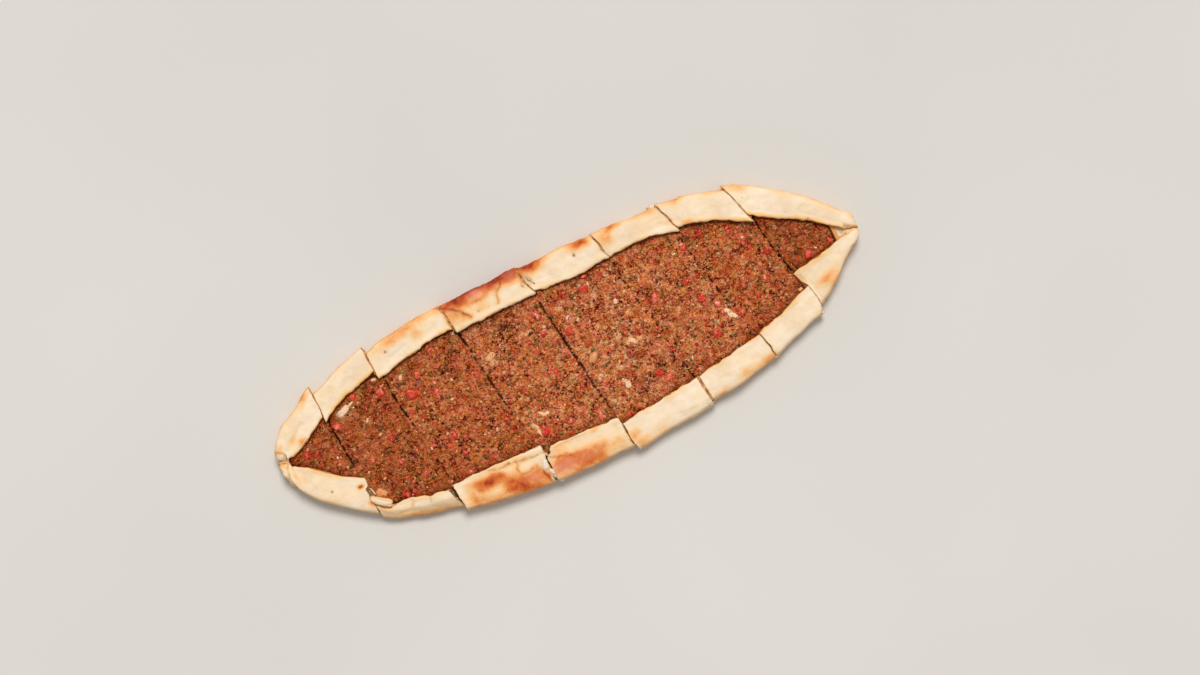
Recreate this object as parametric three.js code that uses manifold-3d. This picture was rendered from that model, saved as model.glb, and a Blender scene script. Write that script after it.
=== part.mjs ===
// Minced meat pide: a long boat-shaped flatbread whose edge is folded in over a layer of seasoned
// minced meat, cut across into eight slices that still lie together as the whole.
// Units are millimetres. +X runs along the bread from its left tip to its right tip, +Z is up.
// Sizes across the bread (+Y) are measured from the line that joins the two tips.

import * as THREE from 'three';
import { mergeVertices } from 'three/addons/utils/BufferGeometryUtils.js';
import Module from 'manifold-3d';

const wasm = await Module();
wasm.setup();

// Driving dimensions

const BASE_THICKNESS = 4.5; // baked dough under the meat
const CREST_HEIGHT = 13; // top of the folded rim
const LIP_HEIGHT = 10; // top corner of the rim's inner edge
const SEAM_HEIGHT = 9.2; // bottom of the crease where the two rims meet at a tip
const LIP_UNDERSIDE = 8.4; // height of the dough over the tucked-in edge of the meat
const LIP_TUCK = 4; // how far the meat runs on under the rim
const MEAT_HEIGHT = 8.8; // mean level of the meat
const MEAT_ROUGHNESS = 0.75; // height of its crags above and below that level
const MEAT_EDGE_HEIGHT = 7.9; // the meat thins towards the rim
const MEAT_HIDDEN_HEIGHT = 7.3; // and thins on under it
const MEAT_EDGE_STRIP = 1.6; // width of the thinner strip along the rim
const LAYER_GAP = 0.35; // clearance between dough and meat
const CUT_WIDTH = 1.1; // width of a knife cut

const DOUGH_COLUMNS = 8; // spans along one slice's dough
const NOSE_STATIONS = [0.014, 0.045, 0.085]; // further sections close to a tip
const LEAST_SEAM = 0.8; // least distance between the two rims' inner corners
const CRAG_SPACING = 5.6; // spacing of the crags across the bread
const CRAG_COLUMNS = 9; // crags along one slice
const CRAG_WANDER = 0.4; // how unevenly they are spaced, as a share of that spacing
const RIM_SWELL = 0.55; // unevenness of the rim's height and edges
const TOPPINGS_PER_SLICE = 11; // scattered vegetable pieces fused to each slice's meat
const TOPPING_MARGIN = 3.2; // their least distance from a cut or a rim
const TOPPING_SPACING = 1.5; // their least distance from each other
const TOPPING_LENGTHS = [3.2, 5];
const TOPPING_LIFT = 0.2; // their middle lies this far above the meat's mean level
const TOPPING_TILT = 0.2;
const PEPPER_SHARE = 0.72; // share of the scattered pieces that are pepper
const LEAST_EDGE = 0.03; // details smaller than this are smoothed away after a join

// Each cut is a straight line. x is where it crosses the tip line, lean its change in x for each
// millimetre across. The first and last entries are the bread's two blunt ends.
const CUTS = [
  { x: -224.5, lean: 0 },
  { x: -178.2, lean: -0.142 },
  { x: -127.1, lean: -0.207 },
  { x: -60.9, lean: -0.248 },
  { x: 0.6, lean: -0.227 },
  { x: 62.0, lean: -0.257 },
  { x: 116.2, lean: -0.3 },
  { x: 164.2, lean: -0.3 },
  { x: 225.0, lean: 0 },
];

// For each slice, the distance across of the rim's outer and inner edges on the far side and the
// near side, at even steps from its left cut to its right cut. The knife pushed the slices a
// little out of line, so neighbours do not quite meet. crest raises or lowers the rim's top.
const SLICES = [
  {
    far: { outer: [4, 17, 24, 31, 38], inner: [-6, -5, 0.5, 8, 14.5] },
    near: { outer: [-16, -34, -46.5, -57, -66], inner: [-4, -10.5, -19.5, -29, -38.5] },
    crest: { far: 0.4, near: 0.6 },
  },
  {
    far: { outer: [33, 42, 50], inner: [11.5, 23.5, 30] },
    near: { outer: [-67, -77.5, -83], inner: [-52, -63, -67] },
    crest: { far: 0, near: 0.5 },
  },
  {
    far: { outer: [45, 53, 58], inner: [25, 33.5, 39] },
    near: { outer: [-87, -89, -90.5], inner: [-64, -62.5, -61] },
    crest: { far: 0.3, near: 1 },
  },
  {
    far: { outer: [56.5, 60, 62], inner: [35.5, 38.5, 41] },
    near: { outer: [-90.5, -89.5, -88], inner: [-63.5, -64, -62.5] },
    crest: { far: 0.5, near: 0.8 },
  },
  {
    far: { outer: [62, 64.5, 66], inner: [42, 41, 45] },
    near: { outer: [-91, -86, -80.5], inner: [-68.5, -63.5, -58] },
    crest: { far: 0, near: 0.2 },
  },
  {
    far: { outer: [66, 66.5, 68.5], inner: [45.5, 48, 46] },
    near: { outer: [-79, -73, -66], inner: [-57, -51, -45] },
    crest: { far: 0.2, near: 0 },
  },
  {
    far: { outer: [69, 66.5, 60], inner: [48, 43.5, 31.5] },
    near: { outer: [-65, -57, -49], inner: [-45, -37.5, -26] },
    crest: { far: 0.6, near: 0.2 },
  },
  {
    far: { outer: [64, 54, 40, 24.5, 9], inner: [36.5, 27.5, 18.5, 7.5, -1] },
    near: { outer: [-41, -35, -26.5, -14, -7], inner: [-14, -10.7, -7, -2.5, 0] },
    crest: { far: 0.2, near: 0.8 },
  },
];

// In the two end slices the meat stops short of the tip, at these shares of the slice's length.
const MEAT_START = 0.2;
const MEAT_END = 0.71;
const LEAST_MEAT_WIDTH = 2.4;

// How far the space for the meat runs on past it, in shares of the slice's length: out of a cut
// end, or just short of a tip.
const OPEN_OVERRUN = 0.06;
const CLOSED_OVERRUN = 0.008;
const LIP_TRIM = 0.25; // its walls cut this far into the rims' inner corners
const SPACE_TOP = 25; // it is open upwards to this height

// The two tips are rounded off over their last few millimetres.
const NOSE_LENGTH = 6;
const NOSE_INSET = 3;
const NOSE_DROP = 0.4; // share of the height that is lost at the very end

// The rim's section, from its inner corner round to its foot: share of its width from the inner
// edge, and height in mm ('mm') or as a share of the crest's height.
const RIM_PROFILE = [
  [0, LIP_HEIGHT, 'mm'],
  [0.06, LIP_HEIGHT + 1.5, 'mm'],
  [0.22, 0.955],
  [0.4, 1],
  [0.63, 0.975],
  [0.82, 0.82],
  [0.94, 0.6],
  [1, 0.34],
  [0.975, 0.12],
  [0.9, 0, 'mm'],
];

// Pinched knots of dough at the two tips, a loose roll on the near rim and two small nubs:
// centre, half sizes and turn about Z in degrees.
const KNOTS = [
  { slice: 0, at: [-220.3, 0.2, 6.6], half: [5, 5, 5.6], turn: 20 },
  { slice: 0, at: [-221.2, -12, 5.6], half: [3.4, 9.5, 4.8], turn: 14 },
  { slice: 1, at: [-163.6, -58.6, 11.6], half: [8.2, 2.5, 2.2], turn: -40 },
  { slice: 5, at: [91.5, 67.6, 6.2], half: [2.6, 2.4, 3], turn: 0 },
  { slice: 5, at: [78.3, -78.5, 4.4], half: [3, 2.6, 2.8], turn: 0 },
  { slice: 7, at: [220.4, 7.2, 6.6], half: [5, 6.6, 5.8], turn: -35 },
  { slice: 7, at: [221.6, -1.8, 5.6], half: [4.2, 4.6, 4.8], turn: 10 },
];

// The pieces that stand out in the meat: kind, place, length and turn in degrees.
const NAMED_TOPPINGS = [
  { kind: 'onion', slice: 1, x: -165, y: 12, length: 10, turn: 30 },
  { kind: 'pepper', slice: 2, x: -116, y: 6, length: 7, turn: 15 },
  { kind: 'pepper', slice: 2, x: -101, y: -32, length: 6, turn: 70 },
  { kind: 'onion', slice: 3, x: -54.5, y: 8.5, length: 8, turn: 60 },
  { kind: 'onion', slice: 3, x: -34, y: -41, length: 7.5, turn: 5 },
  { kind: 'pepper', slice: 3, x: -36.5, y: -54, length: 6.5, turn: 40 },
  { kind: 'pepper', slice: 3, x: -12, y: 12.5, length: 4.6, turn: 25 },
  { kind: 'pepper', slice: 4, x: 6, y: 6, length: 5.2, turn: 45 },
  { kind: 'onion', slice: 4, x: 30.5, y: -43, length: 6.5, turn: 75 },
  { kind: 'onion', slice: 4, x: 44.5, y: 14, length: 3.8, turn: 0 },
  { kind: 'onion', slice: 4, x: 49, y: -17, length: 8, turn: -30 },
  { kind: 'pepper', slice: 5, x: 72, y: 5, length: 6, turn: 80 },
  { kind: 'onion', slice: 6, x: 124, y: -33.5, length: 7, turn: -40 },
  { kind: 'pepper', slice: 6, x: 130.5, y: -27, length: 5.2, turn: 30 },
  { kind: 'pepper', slice: 7, x: 184, y: -3.2, length: 6.5, turn: 10 },
];

// Their width and height as shares of their length. Pepper is diced, onion is in rounded slivers.
const TOPPING_SHAPES = {
  pepper: { width: 0.72, height: 0.4, cube: true },
  onion: { width: 0.45, height: 0.3, cube: false },
};

const DOUGH = { color: '#f0d6b0', roughness: 0.82, metalness: 0 };
const MEAT = { color: '#b0623a', roughness: 0.62, metalness: 0 };

// Small helpers

// A seeded generator, so that every run scatters the same pieces.
function seededRandom(seed) {
  let state = seed >>> 0;
  return () => {
    state = (Math.imul(state, 1664525) + 1013904223) >>> 0;
    return state / 4294967296;
  };
}

// A smooth value through evenly spaced ones, at share s from 0 to 1. The ends run straight on.
function along(values, s) {
  const spans = values.length - 1;
  const i = Math.min(spans - 1, Math.max(0, Math.floor(s * spans)));
  const t = s * spans - i;
  const a = values[i];
  const b = values[i + 1];
  const before = i > 0 ? values[i - 1] : 2 * a - b;
  const after = i + 2 <= spans ? values[i + 2] : 2 * b - a;
  const bend = (2 * before - 5 * a + 4 * b - after) * t + (3 * a - before - 3 * b + after) * t * t;
  return a + 0.5 * t * (b - before + bend);
}

const isEnd = (slice) => slice === 0 || slice === SLICES.length - 1;

// x on a slice's own grid: share s of the way from its left cut to its right cut, y across.
function placeX(slice, s, y) {
  const left = CUTS[slice];
  const right = CUTS[slice + 1];
  const leftGap = slice > 0 ? CUT_WIDTH / 2 : 0;
  const rightGap = slice + 2 < CUTS.length ? CUT_WIDTH / 2 : 0;
  const start = left.x + left.lean * y + leftGap;
  const end = right.x + right.lean * y - rightGap;
  return THREE.MathUtils.lerp(start, end, s);
}

// A slow unevenness that differs from rim to rim.
function swell(slice, side, s) {
  const phase = slice * 2.3 + (side === 'far' ? 0 : 1.1);
  return RIM_SWELL * (Math.sin(s * 5.1 + phase) + 0.6 * Math.sin(s * 11.3 + phase * 1.7));
}

const acrossOutline = (p) => new THREE.Vector2(p.y, p.z);

// The triangles that close a flat outline, in the outline's own order.
function capFaces(outline) {
  const faces = THREE.ShapeUtils.triangulateShape(outline, []);
  return THREE.ShapeUtils.isClockWise(outline) ? faces.map(([p, q, r]) => [p, r, q]) : faces;
}

// Closed solid through a row of closed loops with equal numbers of points.
function loft(loops) {
  const count = loops[0].length;
  const positions = loops.flat().flatMap((p) => [p.x, p.y, p.z]);
  const index = [];
  for (let j = 0; j + 1 < loops.length; j += 1) {
    for (let i = 0; i < count; i += 1) {
      const a = j * count + i;
      const b = j * count + ((i + 1) % count);
      index.push(a, b, b + count, a, b + count, a + count);
    }
  }
  const last = (loops.length - 1) * count;
  for (const [p, q, r] of capFaces(loops[0].map(acrossOutline))) {
    index.push(p, r, q);
  }
  for (const [p, q, r] of capFaces(loops[loops.length - 1].map(acrossOutline))) {
    index.push(last + p, last + q, last + r);
  }
  const geometry = new THREE.BufferGeometry();
  geometry.setAttribute('position', new THREE.Float32BufferAttribute(positions, 3));
  geometry.setIndex(index);
  return solid(geometry);
}

// three.js geometry to a manifold solid, turned right side out.
function solid(source) {
  const bare = source.clone();
  bare.deleteAttribute('normal');
  bare.deleteAttribute('uv');
  const merged = mergeVertices(bare, 1e-4);
  const vertProperties = new Float32Array(merged.attributes.position.array);
  const triVerts = new Uint32Array(merged.index.array);
  const made = new wasm.Manifold(new wasm.Mesh({ numProp: 3, vertProperties, triVerts }));
  if (made.volume() > 0) return made;
  for (let i = 0; i < triVerts.length; i += 3) {
    [triVerts[i], triVerts[i + 1]] = [triVerts[i + 1], triVerts[i]];
  }
  return new wasm.Manifold(new wasm.Mesh({ numProp: 3, vertProperties, triVerts }));
}

// The largest piece of a solid as a named mesh, without the scraps and slivers that a join can
// leave.
function namedMesh(name, made, look) {
  const pieces = made.simplify(LEAST_EDGE).decompose().sort((a, b) => b.volume() - a.volume());
  const { vertProperties, triVerts } = pieces[0].getMesh();
  const geometry = new THREE.BufferGeometry();
  geometry.setAttribute('position', new THREE.Float32BufferAttribute(vertProperties, 3));
  geometry.setIndex(Array.from(triVerts));
  geometry.computeVertexNormals();
  const mesh = new THREE.Mesh(geometry, new THREE.MeshStandardMaterial(look));
  mesh.name = name;
  return mesh;
}

// Dough

// A rim's inner and outer edges at share s, kept apart from the other rim's.
function rimEdges(slice, side, s) {
  const { far, near } = SLICES[slice];
  const middle = (along(far.inner, s) + along(near.inner, s)) / 2;
  const rim = side === 'far' ? far : near;
  const outward = side === 'far' ? 1 : -1;
  const fromMiddle = Math.max(LEAST_SEAM / 2, outward * (along(rim.inner, s) - middle));
  const outer = along(rim.outer, s) + swell(slice, side, s + 0.4);
  return { inner: middle + outward * fromMiddle, outer };
}

// How full the bread is at share s: 1 along it, less in the last millimetres of a tip.
function fullness(slice, s) {
  const toTip = slice === 0 ? s : 1 - s;
  const length = placeX(slice, 1, 0) - placeX(slice, 0, 0);
  const reach = isEnd(slice) ? Math.min(1, toTip * length / NOSE_LENGTH) : 1;
  return Math.sqrt(1 - (1 - reach) ** 2);
}

// One side of a slice's section, from the rim's foot over its crest to its inner corner.
function rimSection(slice, side, s) {
  const { inner, outer } = rimEdges(slice, side, s);
  const full = fullness(slice, s);
  const outward = side === 'far' ? 1 : -1;
  const drawnIn = outer - outward * NOSE_INSET * (1 - full);
  const crest = CREST_HEIGHT + SLICES[slice].crest[side] + swell(slice, side, s);
  const lowered = 1 - NOSE_DROP * (1 - full);
  return RIM_PROFILE.map(([share, height, unit]) => {
    const y = THREE.MathUtils.lerp(inner, drawnIn, share);
    return [y, lowered * (unit ? height : height * crest)];
  });
}

// The shares of a slice's length at which its dough is drawn, closer together round a tip.
function doughStations(slice) {
  const stations = [];
  for (let j = 0; j <= DOUGH_COLUMNS; j += 1) {
    stations.push(j / DOUGH_COLUMNS);
  }
  if (slice === 0) stations.splice(1, 0, ...NOSE_STATIONS);
  const mirrored = NOSE_STATIONS.map((s) => 1 - s).reverse();
  if (slice === SLICES.length - 1) stations.splice(-1, 0, ...mirrored);
  return stations;
}

// A slice's dough as if it were full between its rims.
function fullDough(slice) {
  return loft(doughStations(slice).map((s) => {
    const far = rimSection(slice, 'far', s);
    const near = rimSection(slice, 'near', s);
    const seamHeight = SEAM_HEIGHT * (1 - NOSE_DROP * (1 - fullness(slice, s)));
    const seam = [(far[0][0] + near[0][0]) / 2, seamHeight];
    const section = [...far.reverse(), seam, ...near];
    return section.map(([y, z]) => new THREE.Vector3(placeX(slice, s, y), y, z));
  }));
}

// A rounded knot of pinched dough.
function knot({ at, half, turn }) {
  const shape = new THREE.IcosahedronGeometry(1, 1);
  shape.scale(...half);
  shape.rotateZ(THREE.MathUtils.degToRad(turn));
  shape.translate(...at);
  return solid(shape);
}

// Meat

const meatFrom = (slice) => (slice === 0 ? MEAT_START : 0);
const meatTo = (slice) => (slice === SLICES.length - 1 ? MEAT_END : 1);

// The shares of a slice's length at which its meat is drawn, a little unevenly spaced.
function meatStations(slice) {
  const random = seededRandom(40 + slice);
  const columns = isEnd(slice) ? CRAG_COLUMNS - 1 : CRAG_COLUMNS;
  const stations = [];
  for (let j = 0; j <= columns; j += 1) {
    const shift = j > 0 && j < columns ? (random() - 0.5) * CRAG_WANDER : 0;
    stations.push(THREE.MathUtils.lerp(meatFrom(slice), meatTo(slice), (j + shift) / columns));
  }
  return stations;
}

// The meat's two long edges at share s: where it shows, and where it ends under the rims.
function meatEdges(slice, s) {
  let low = rimEdges(slice, 'near', s).inner;
  let high = rimEdges(slice, 'far', s).inner;
  const middle = (low + high) / 2;
  low = Math.min(low, middle - LEAST_MEAT_WIDTH / 2);
  high = Math.max(high, middle + LEAST_MEAT_WIDTH / 2);
  const tuck = isEnd(slice) ? Math.min(LIP_TUCK, (high - low) / 4) : LIP_TUCK;
  return { low, high, hiddenLow: low - tuck, hiddenHigh: high + tuck };
}

// The layer of meat with its crags, flat below.
function meatLayer(slice) {
  const random = seededRandom(90 + slice);
  const floor = BASE_THICKNESS + LAYER_GAP;
  const widest = meatEdges(slice, slice === 0 ? 1 : 0);
  const rows = Math.round((widest.high - widest.low) / CRAG_SPACING);
  return loft(meatStations(slice).map((s) => {
    const { low, high, hiddenLow, hiddenHigh } = meatEdges(slice, s);
    const strip = Math.min(MEAT_EDGE_STRIP, (high - low) / 5);
    const row = [[hiddenLow, floor], [hiddenHigh, floor], [hiddenHigh, MEAT_HIDDEN_HEIGHT]];
    row.push([high - strip, MEAT_EDGE_HEIGHT]);
    for (let i = rows - 1; i > 0; i -= 1) {
      const wander = (random() - 0.5) * CRAG_WANDER;
      const y = THREE.MathUtils.lerp(low + strip, high - strip, (i + wander) / rows);
      row.push([y, MEAT_HEIGHT + (random() * 2 - 1) * MEAT_ROUGHNESS]);
    }
    row.push([low + strip, MEAT_EDGE_HEIGHT], [hiddenLow, MEAT_HIDDEN_HEIGHT]);
    return row.map(([y, z]) => new THREE.Vector3(placeX(slice, s, y), y, z));
  }));
}

// The section at share s on the straight line through two others.
function sectionBeyond(from, next, s) {
  const t = (s - from.s) / (next.s - from.s);
  const edge = (name) => THREE.MathUtils.lerp(from[name], next[name], t);
  return {
    s,
    low: edge('low'),
    high: edge('high'),
    hiddenLow: edge('hiddenLow'),
    hiddenHigh: edge('hiddenHigh'),
  };
}

// The space for the meat in the dough: wider than the meat under the rims, open above it. Its
// ends continue the straight walls, so that no corner of it lies in a cut.
function meatSpace(slice) {
  const sections = meatStations(slice).map((s) => ({ s, ...meatEdges(slice, s) }));
  const [first, second] = sections;
  const [last, butOne] = [...sections].reverse();
  const startOverrun = slice === 0 ? CLOSED_OVERRUN : OPEN_OVERRUN;
  const endOverrun = slice === SLICES.length - 1 ? CLOSED_OVERRUN : OPEN_OVERRUN;
  const start = sectionBeyond(first, second, first.s - startOverrun);
  const end = sectionBeyond(last, butOne, last.s + endOverrun);
  const space = [start, ...sections.slice(1, -1), end];
  return loft(space.map(({ s, low, high, hiddenLow, hiddenHigh }) => {
    const corners = [
      [hiddenLow - LAYER_GAP, BASE_THICKNESS],
      [hiddenHigh + LAYER_GAP, BASE_THICKNESS],
      [hiddenHigh + LAYER_GAP, LIP_UNDERSIDE],
      [high + LIP_TRIM, LIP_UNDERSIDE],
      [high + LIP_TRIM, SPACE_TOP],
      [low - LIP_TRIM, SPACE_TOP],
      [low - LIP_TRIM, LIP_UNDERSIDE],
      [hiddenLow - LAYER_GAP, LIP_UNDERSIDE],
    ];
    return corners.map(([y, z]) => new THREE.Vector3(placeX(slice, s, y), y, z));
  }));
}

// A diced or slivered piece of vegetable, half sunk in the meat.
function topping({ kind, x, y, length, turn }) {
  const { width, height, cube } = TOPPING_SHAPES[kind];
  const shape = cube ? new THREE.BoxGeometry(2, 2, 2) : new THREE.IcosahedronGeometry(1, 0);
  shape.scale(length / 2, (length * width) / 2, (length * height) / 2);
  shape.rotateX(TOPPING_TILT);
  shape.rotateZ(THREE.MathUtils.degToRad(turn));
  shape.translate(x, y, MEAT_HEIGHT + TOPPING_LIFT);
  return solid(shape);
}

// A value of the Halton sequence, whose values spread evenly from 0 to 1.
function halton(index, radix) {
  let share = 1 / radix;
  let result = 0;
  let rest = index;
  while (rest > 0) {
    result += share * (rest % radix);
    rest = Math.floor(rest / radix);
    share /= radix;
  }
  return result;
}

// Whether a piece stays clear of the rims, the cuts and the pieces already placed.
function isClear(slice, piece, others) {
  const { s, x, y, length } = piece;
  const { low, high } = meatEdges(slice, s);
  const toRim = Math.min(y - low, high - y);
  const toCut = Math.min(x - placeX(slice, 0, y), placeX(slice, 1, y) - x);
  const apart = others.every((other) => {
    const distance = Math.hypot(other.x - x, other.y - y);
    return distance > (other.length + length) / 2 + TOPPING_SPACING;
  });
  return toRim > TOPPING_MARGIN && toCut > TOPPING_MARGIN && apart;
}

function toppings(slice) {
  const random = seededRandom(500 + slice);
  const placed = NAMED_TOPPINGS.filter((piece) => piece.slice === slice);
  const wanted = placed.length + TOPPINGS_PER_SLICE;
  const tries = 200;
  for (let k = 1; placed.length < wanted && k < tries; k += 1) {
    const s = THREE.MathUtils.lerp(meatFrom(slice), meatTo(slice), halton(k + 17 * slice, 2));
    const { low, high } = meatEdges(slice, s);
    const y = THREE.MathUtils.lerp(low, high, halton(k + 17 * slice, 3));
    const x = placeX(slice, s, y);
    const length = THREE.MathUtils.lerp(...TOPPING_LENGTHS, random());
    const turn = 180 * random();
    const kind = random() < PEPPER_SHARE ? 'pepper' : 'onion';
    const piece = { kind, s, x, y, length, turn };
    if (isClear(slice, piece, placed)) placed.push(piece);
  }
  return placed;
}

// Slices

function crust(slice) {
  let made = fullDough(slice);
  for (const piece of KNOTS.filter((entry) => entry.slice === slice)) {
    made = made.add(knot(piece));
  }
  return made.subtract(meatSpace(slice));
}

function filling(slice) {
  let made = meatLayer(slice);
  for (const piece of toppings(slice)) {
    made = made.add(topping(piece));
  }
  return made;
}

const pide = new THREE.Group();
for (let slice = 0; slice < SLICES.length; slice += 1) {
  pide.add(namedMesh(`crust_${slice + 1}`, crust(slice), DOUGH));
  pide.add(namedMesh(`filling_${slice + 1}`, filling(slice), MEAT));
}

// The origin lies on the table, under the middle of the bread's outline.
const middle = new THREE.Box3().setFromObject(pide).getCenter(new THREE.Vector3());
pide.position.set(-middle.x, -middle.y, 0);

export default pide;
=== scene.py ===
import itertools
import math

import bpy
import numpy as np
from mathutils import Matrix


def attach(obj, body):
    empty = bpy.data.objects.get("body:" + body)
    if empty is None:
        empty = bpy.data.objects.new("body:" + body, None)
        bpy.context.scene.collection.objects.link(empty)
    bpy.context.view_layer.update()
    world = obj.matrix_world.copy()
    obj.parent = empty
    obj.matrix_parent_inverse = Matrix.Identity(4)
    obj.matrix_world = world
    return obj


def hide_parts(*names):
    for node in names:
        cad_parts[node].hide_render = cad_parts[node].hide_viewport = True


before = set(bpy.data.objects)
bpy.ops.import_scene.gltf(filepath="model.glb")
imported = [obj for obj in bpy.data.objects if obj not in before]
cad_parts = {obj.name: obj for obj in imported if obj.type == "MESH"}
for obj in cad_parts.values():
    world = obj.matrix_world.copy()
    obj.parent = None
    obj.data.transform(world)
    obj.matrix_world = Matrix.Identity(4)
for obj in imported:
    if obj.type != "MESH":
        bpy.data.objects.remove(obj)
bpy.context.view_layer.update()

# Baked crust
# One long sheet of plain dough, its two edges folded in over the meat and pinched together at the tips,
# baked pale with toasted patches and cut across into eight slices. Each slice is a sheet of mesh that is
# laid out in the section of the folded dough, closed along the bottom and filled at its two cut ends.

# The tables give places in millimetres from the middle between the tips, with x along the line between them.
MM = 0.001
TO_ROW_FRAME = np.array([-0.378, 10.568, 0.0])

# Each cut: where it crosses the line between the tips, and its lean, the change in x for each mm across.
CUTS = [
    (-224.5, 0), (-178.2, -0.142), (-127.1, -0.207), (-60.9, -0.248), (0.6, -0.227), (62.0, -0.257),
    (116.2, -0.3), (164.2, -0.3), (225.0, 0),
]
CUT_WIDTH = 1.1
CUT_ROUNDING = 0.7
NO_CUT = 99.0

# Each slice's rims: y of the outer and of the inner edge, at even steps from its left cut to its right
# cut, and how far the crest rises above its usual height.
RIMS = [
    {
        "far": ([4, 17.5, 25, 31.5, 38], [-6, -4.2, 0.5, 8, 14.5], 0.4),
        "near": ([-16, -34, -46, -57, -66], [-6.5, -11.3, -18.4, -28, -37.5], 0.6),
    },
    {
        "far": ([33, 42.5, 50.5], [11.5, 23.5, 30], 0),
        "near": (
            [-68, -72.4, -75, -76.8, -78.6, -79.5, -80, -80.8, -82],
            [-56, -60.5, -62.2, -62.3, -63.3, -65.3, -66.4, -66.6, -67.2], 0.5,
        ),
    },
    {
        "far": ([45.4, 50.2, 53.8, 57, 58.4], [25, 29.8, 33.4, 37.8, 38.4], 0.3),
        "near": ([-87, -89, -90.4], [-65, -63.3, -61], 1),
    },
    {
        "far": ([57.5, 60.6, 62.6], [35.2, 38.2, 40.4], 0.5),
        "near": ([-90.4, -89.5, -88], [-64.3, -64.6, -63.4], 0.8),
    },
    {"far": ([62, 63.8, 65.6], [42, 41, 45], 0), "near": ([-91, -86, -80.5], [-68.5, -63.5, -58], 0.2)},
    {"far": ([65.6, 66, 68], [45.2, 47.6, 45.2], 0.2), "near": ([-79, -73, -66], [-57.6, -52, -45.6], 0)},
    {
        "far": ([68.6, 65.8, 59.4], [47.2, 42.6, 30.8], 0.6),
        "near": ([-65, -57, -49.5], [-45, -37.5, -26], 0.2),
    },
    {
        "far": ([63.6, 53.6, 39.6, 24.2, 9], [35.4, 26.4, 17.2, 5.4, -1.2], 0.2),
        "near": ([-44, -38, -29, -15.5, -6.5], [-14, -10.8, -7.6, -3, 0], 0.8),
    },
]
LAST = len(RIMS) - 1

# The cuts' course through the rims: places across, how far the cut lies off its straight line there and
# how wide it gapes.
RIM_CUTS = {
    "far": {
        1: [(15, -1, 0.4), (20, 0, 0.3), (34, 0, 0.4)],
        2: [(26, -2, 0.2), (31, -1.6, 0.3), (35, -1.2, 0.4), (40, -0.9, 0.8), (46, -0.1, 0.8)],
        3: [
            (36, -0.7, 0.9), (40, -0.8, 1.3), (43, -0.7, 1.7), (46, -0.5, 1), (50, -0.3, 0.8),
            (55, -0.7, 1.1), (58, -0.6, 0.9),
        ],
        4: [
            (41, 1.6, 0), (44, 0.8, 0.2), (45.5, 0.3, 0.5), (47.5, -0.3, 0.7), (50, -0.8, 0.9),
            (53, -0.9, 1.2), (62, -0.6, 1.3),
        ],
        5: [
            (46, 1.2, 0.2), (48.5, 0, 0.8), (52, -0.4, 1.2), (54, 0.1, 1.2), (57, -0.1, 0.9),
            (60, -0.6, 0.9), (66, -1.1, 0.9),
        ],
        6: [
            (47, 2.6, 0.2), (51, 1.1, 0.2), (52.5, 1, 0.8), (56, 1, 1.1), (60, 0.4, 0.9), (62, -0.2, 1),
            (67, -1, 1.1),
        ],
        7: [
            (32, 2.4, 0.3), (36.5, 1.2, 0.3), (42, 0.7, 0.5), (49.5, 0.1, 0.5), (57, -0.6, 0.7),
            (60.5, -1, 0.7),
        ],
    },
    "near": {
        1: [
            (-65, 0, 0.4), (-60, 0.3, 0.4), (-53, -0.5, 0.4), (-49, 0.4, 1), (-45, 0.3, 1.2),
            (-43.3, 3, 0.4), (-38, 3.8, 0.4),
        ],
        2: [(-86, -1, 0.4), (-82, -0.5, 0.8), (-77.5, -0.9, 2.1), (-72, -1.8, 3), (-67, -1.8, 3.6)],
        3: [
            (-90, -3.8, 1.8), (-86, -3.2, 1.6), (-82, -2.4, 1.6), (-78, -1.4, 1.3), (-73, -1, 1.4),
            (-70, 0.7, 0.9), (-68.5, 1.7, 1.7), (-66, 3.3, 4.2),
        ],
        4: [
            (-88, -0.7, 0.4), (-86, -1.5, 0.9), (-83, -1.6, 0.8), (-78, -1.3, 0.8), (-76, -1.1, 1.4),
            (-72, -0.6, 1.5), (-69, -0.2, 0.6),
        ],
        5: [(-79, 0.2, 1.2), (-75, 0.5, 1.8), (-70, 0.8, 1.6), (-65, 1.3, 1.5), (-58, 1.8, 1.9)],
        6: [
            (-66, 0.3, 0.8), (-63, 0.8, 0.6), (-60, 1.1, 0.5), (-57, 1.5, 0.9), (-52, 1.2, 0.6),
            (-49, 1.1, 0.45), (-44, 0.6, 0.2),
        ],
        7: [
            (-49, 0, 0.1), (-46, 0.8, 0.1), (-43, 2.4, 0.1), (-38, 3.5, 0), (-30, 4, 0), (-25, 3.6, 0.1),
            (-22, 1.6, 0.4), (-17, 0.8, 0.4),
        ],
    },
}

# How much of that width each cut keeps in its depth.
WIDTH_KEPT = {
    "far": {1: 0.1, 2: 0.3, 3: 0.15, 4: 0.25, 5: 0.1, 6: 0.1, 7: 0.1},
    "near": {1: 0.3, 2: 0.05, 3: 0.6, 4: 0.4, 5: 0.05, 6: 0.1, 7: 0.2},
}

# Heights and lengths of the folded dough. The meat's and the opening's ends are shares of the first and of
# the last slice.
SLICE_NUMBERS = range(len(RIMS))
OUTWARD = {"far": 1, "near": -1}
CREST_HEIGHT = 13
RIM_SWELL = 0.55
BASE_THICKNESS = 4.5
LIP_UNDERSIDE = 8.7
LIP_TUCK = 4
LAYER_GAP = 0.35
LEAST_SEAM = 0.8
LEAST_MEAT_WIDTH = 2.4
SEAM_HEIGHT = 9.2
NOSE_LENGTH, NOSE_INSET, NOSE_DROP = 6, 3, 0.4
MEAT_START, MEAT_END = 0.2, 0.685
OPENING_END = 0.83
SHELF_HEIGHT = 9
TALLEST = 14.2
END_REACH = 0.35

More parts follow.
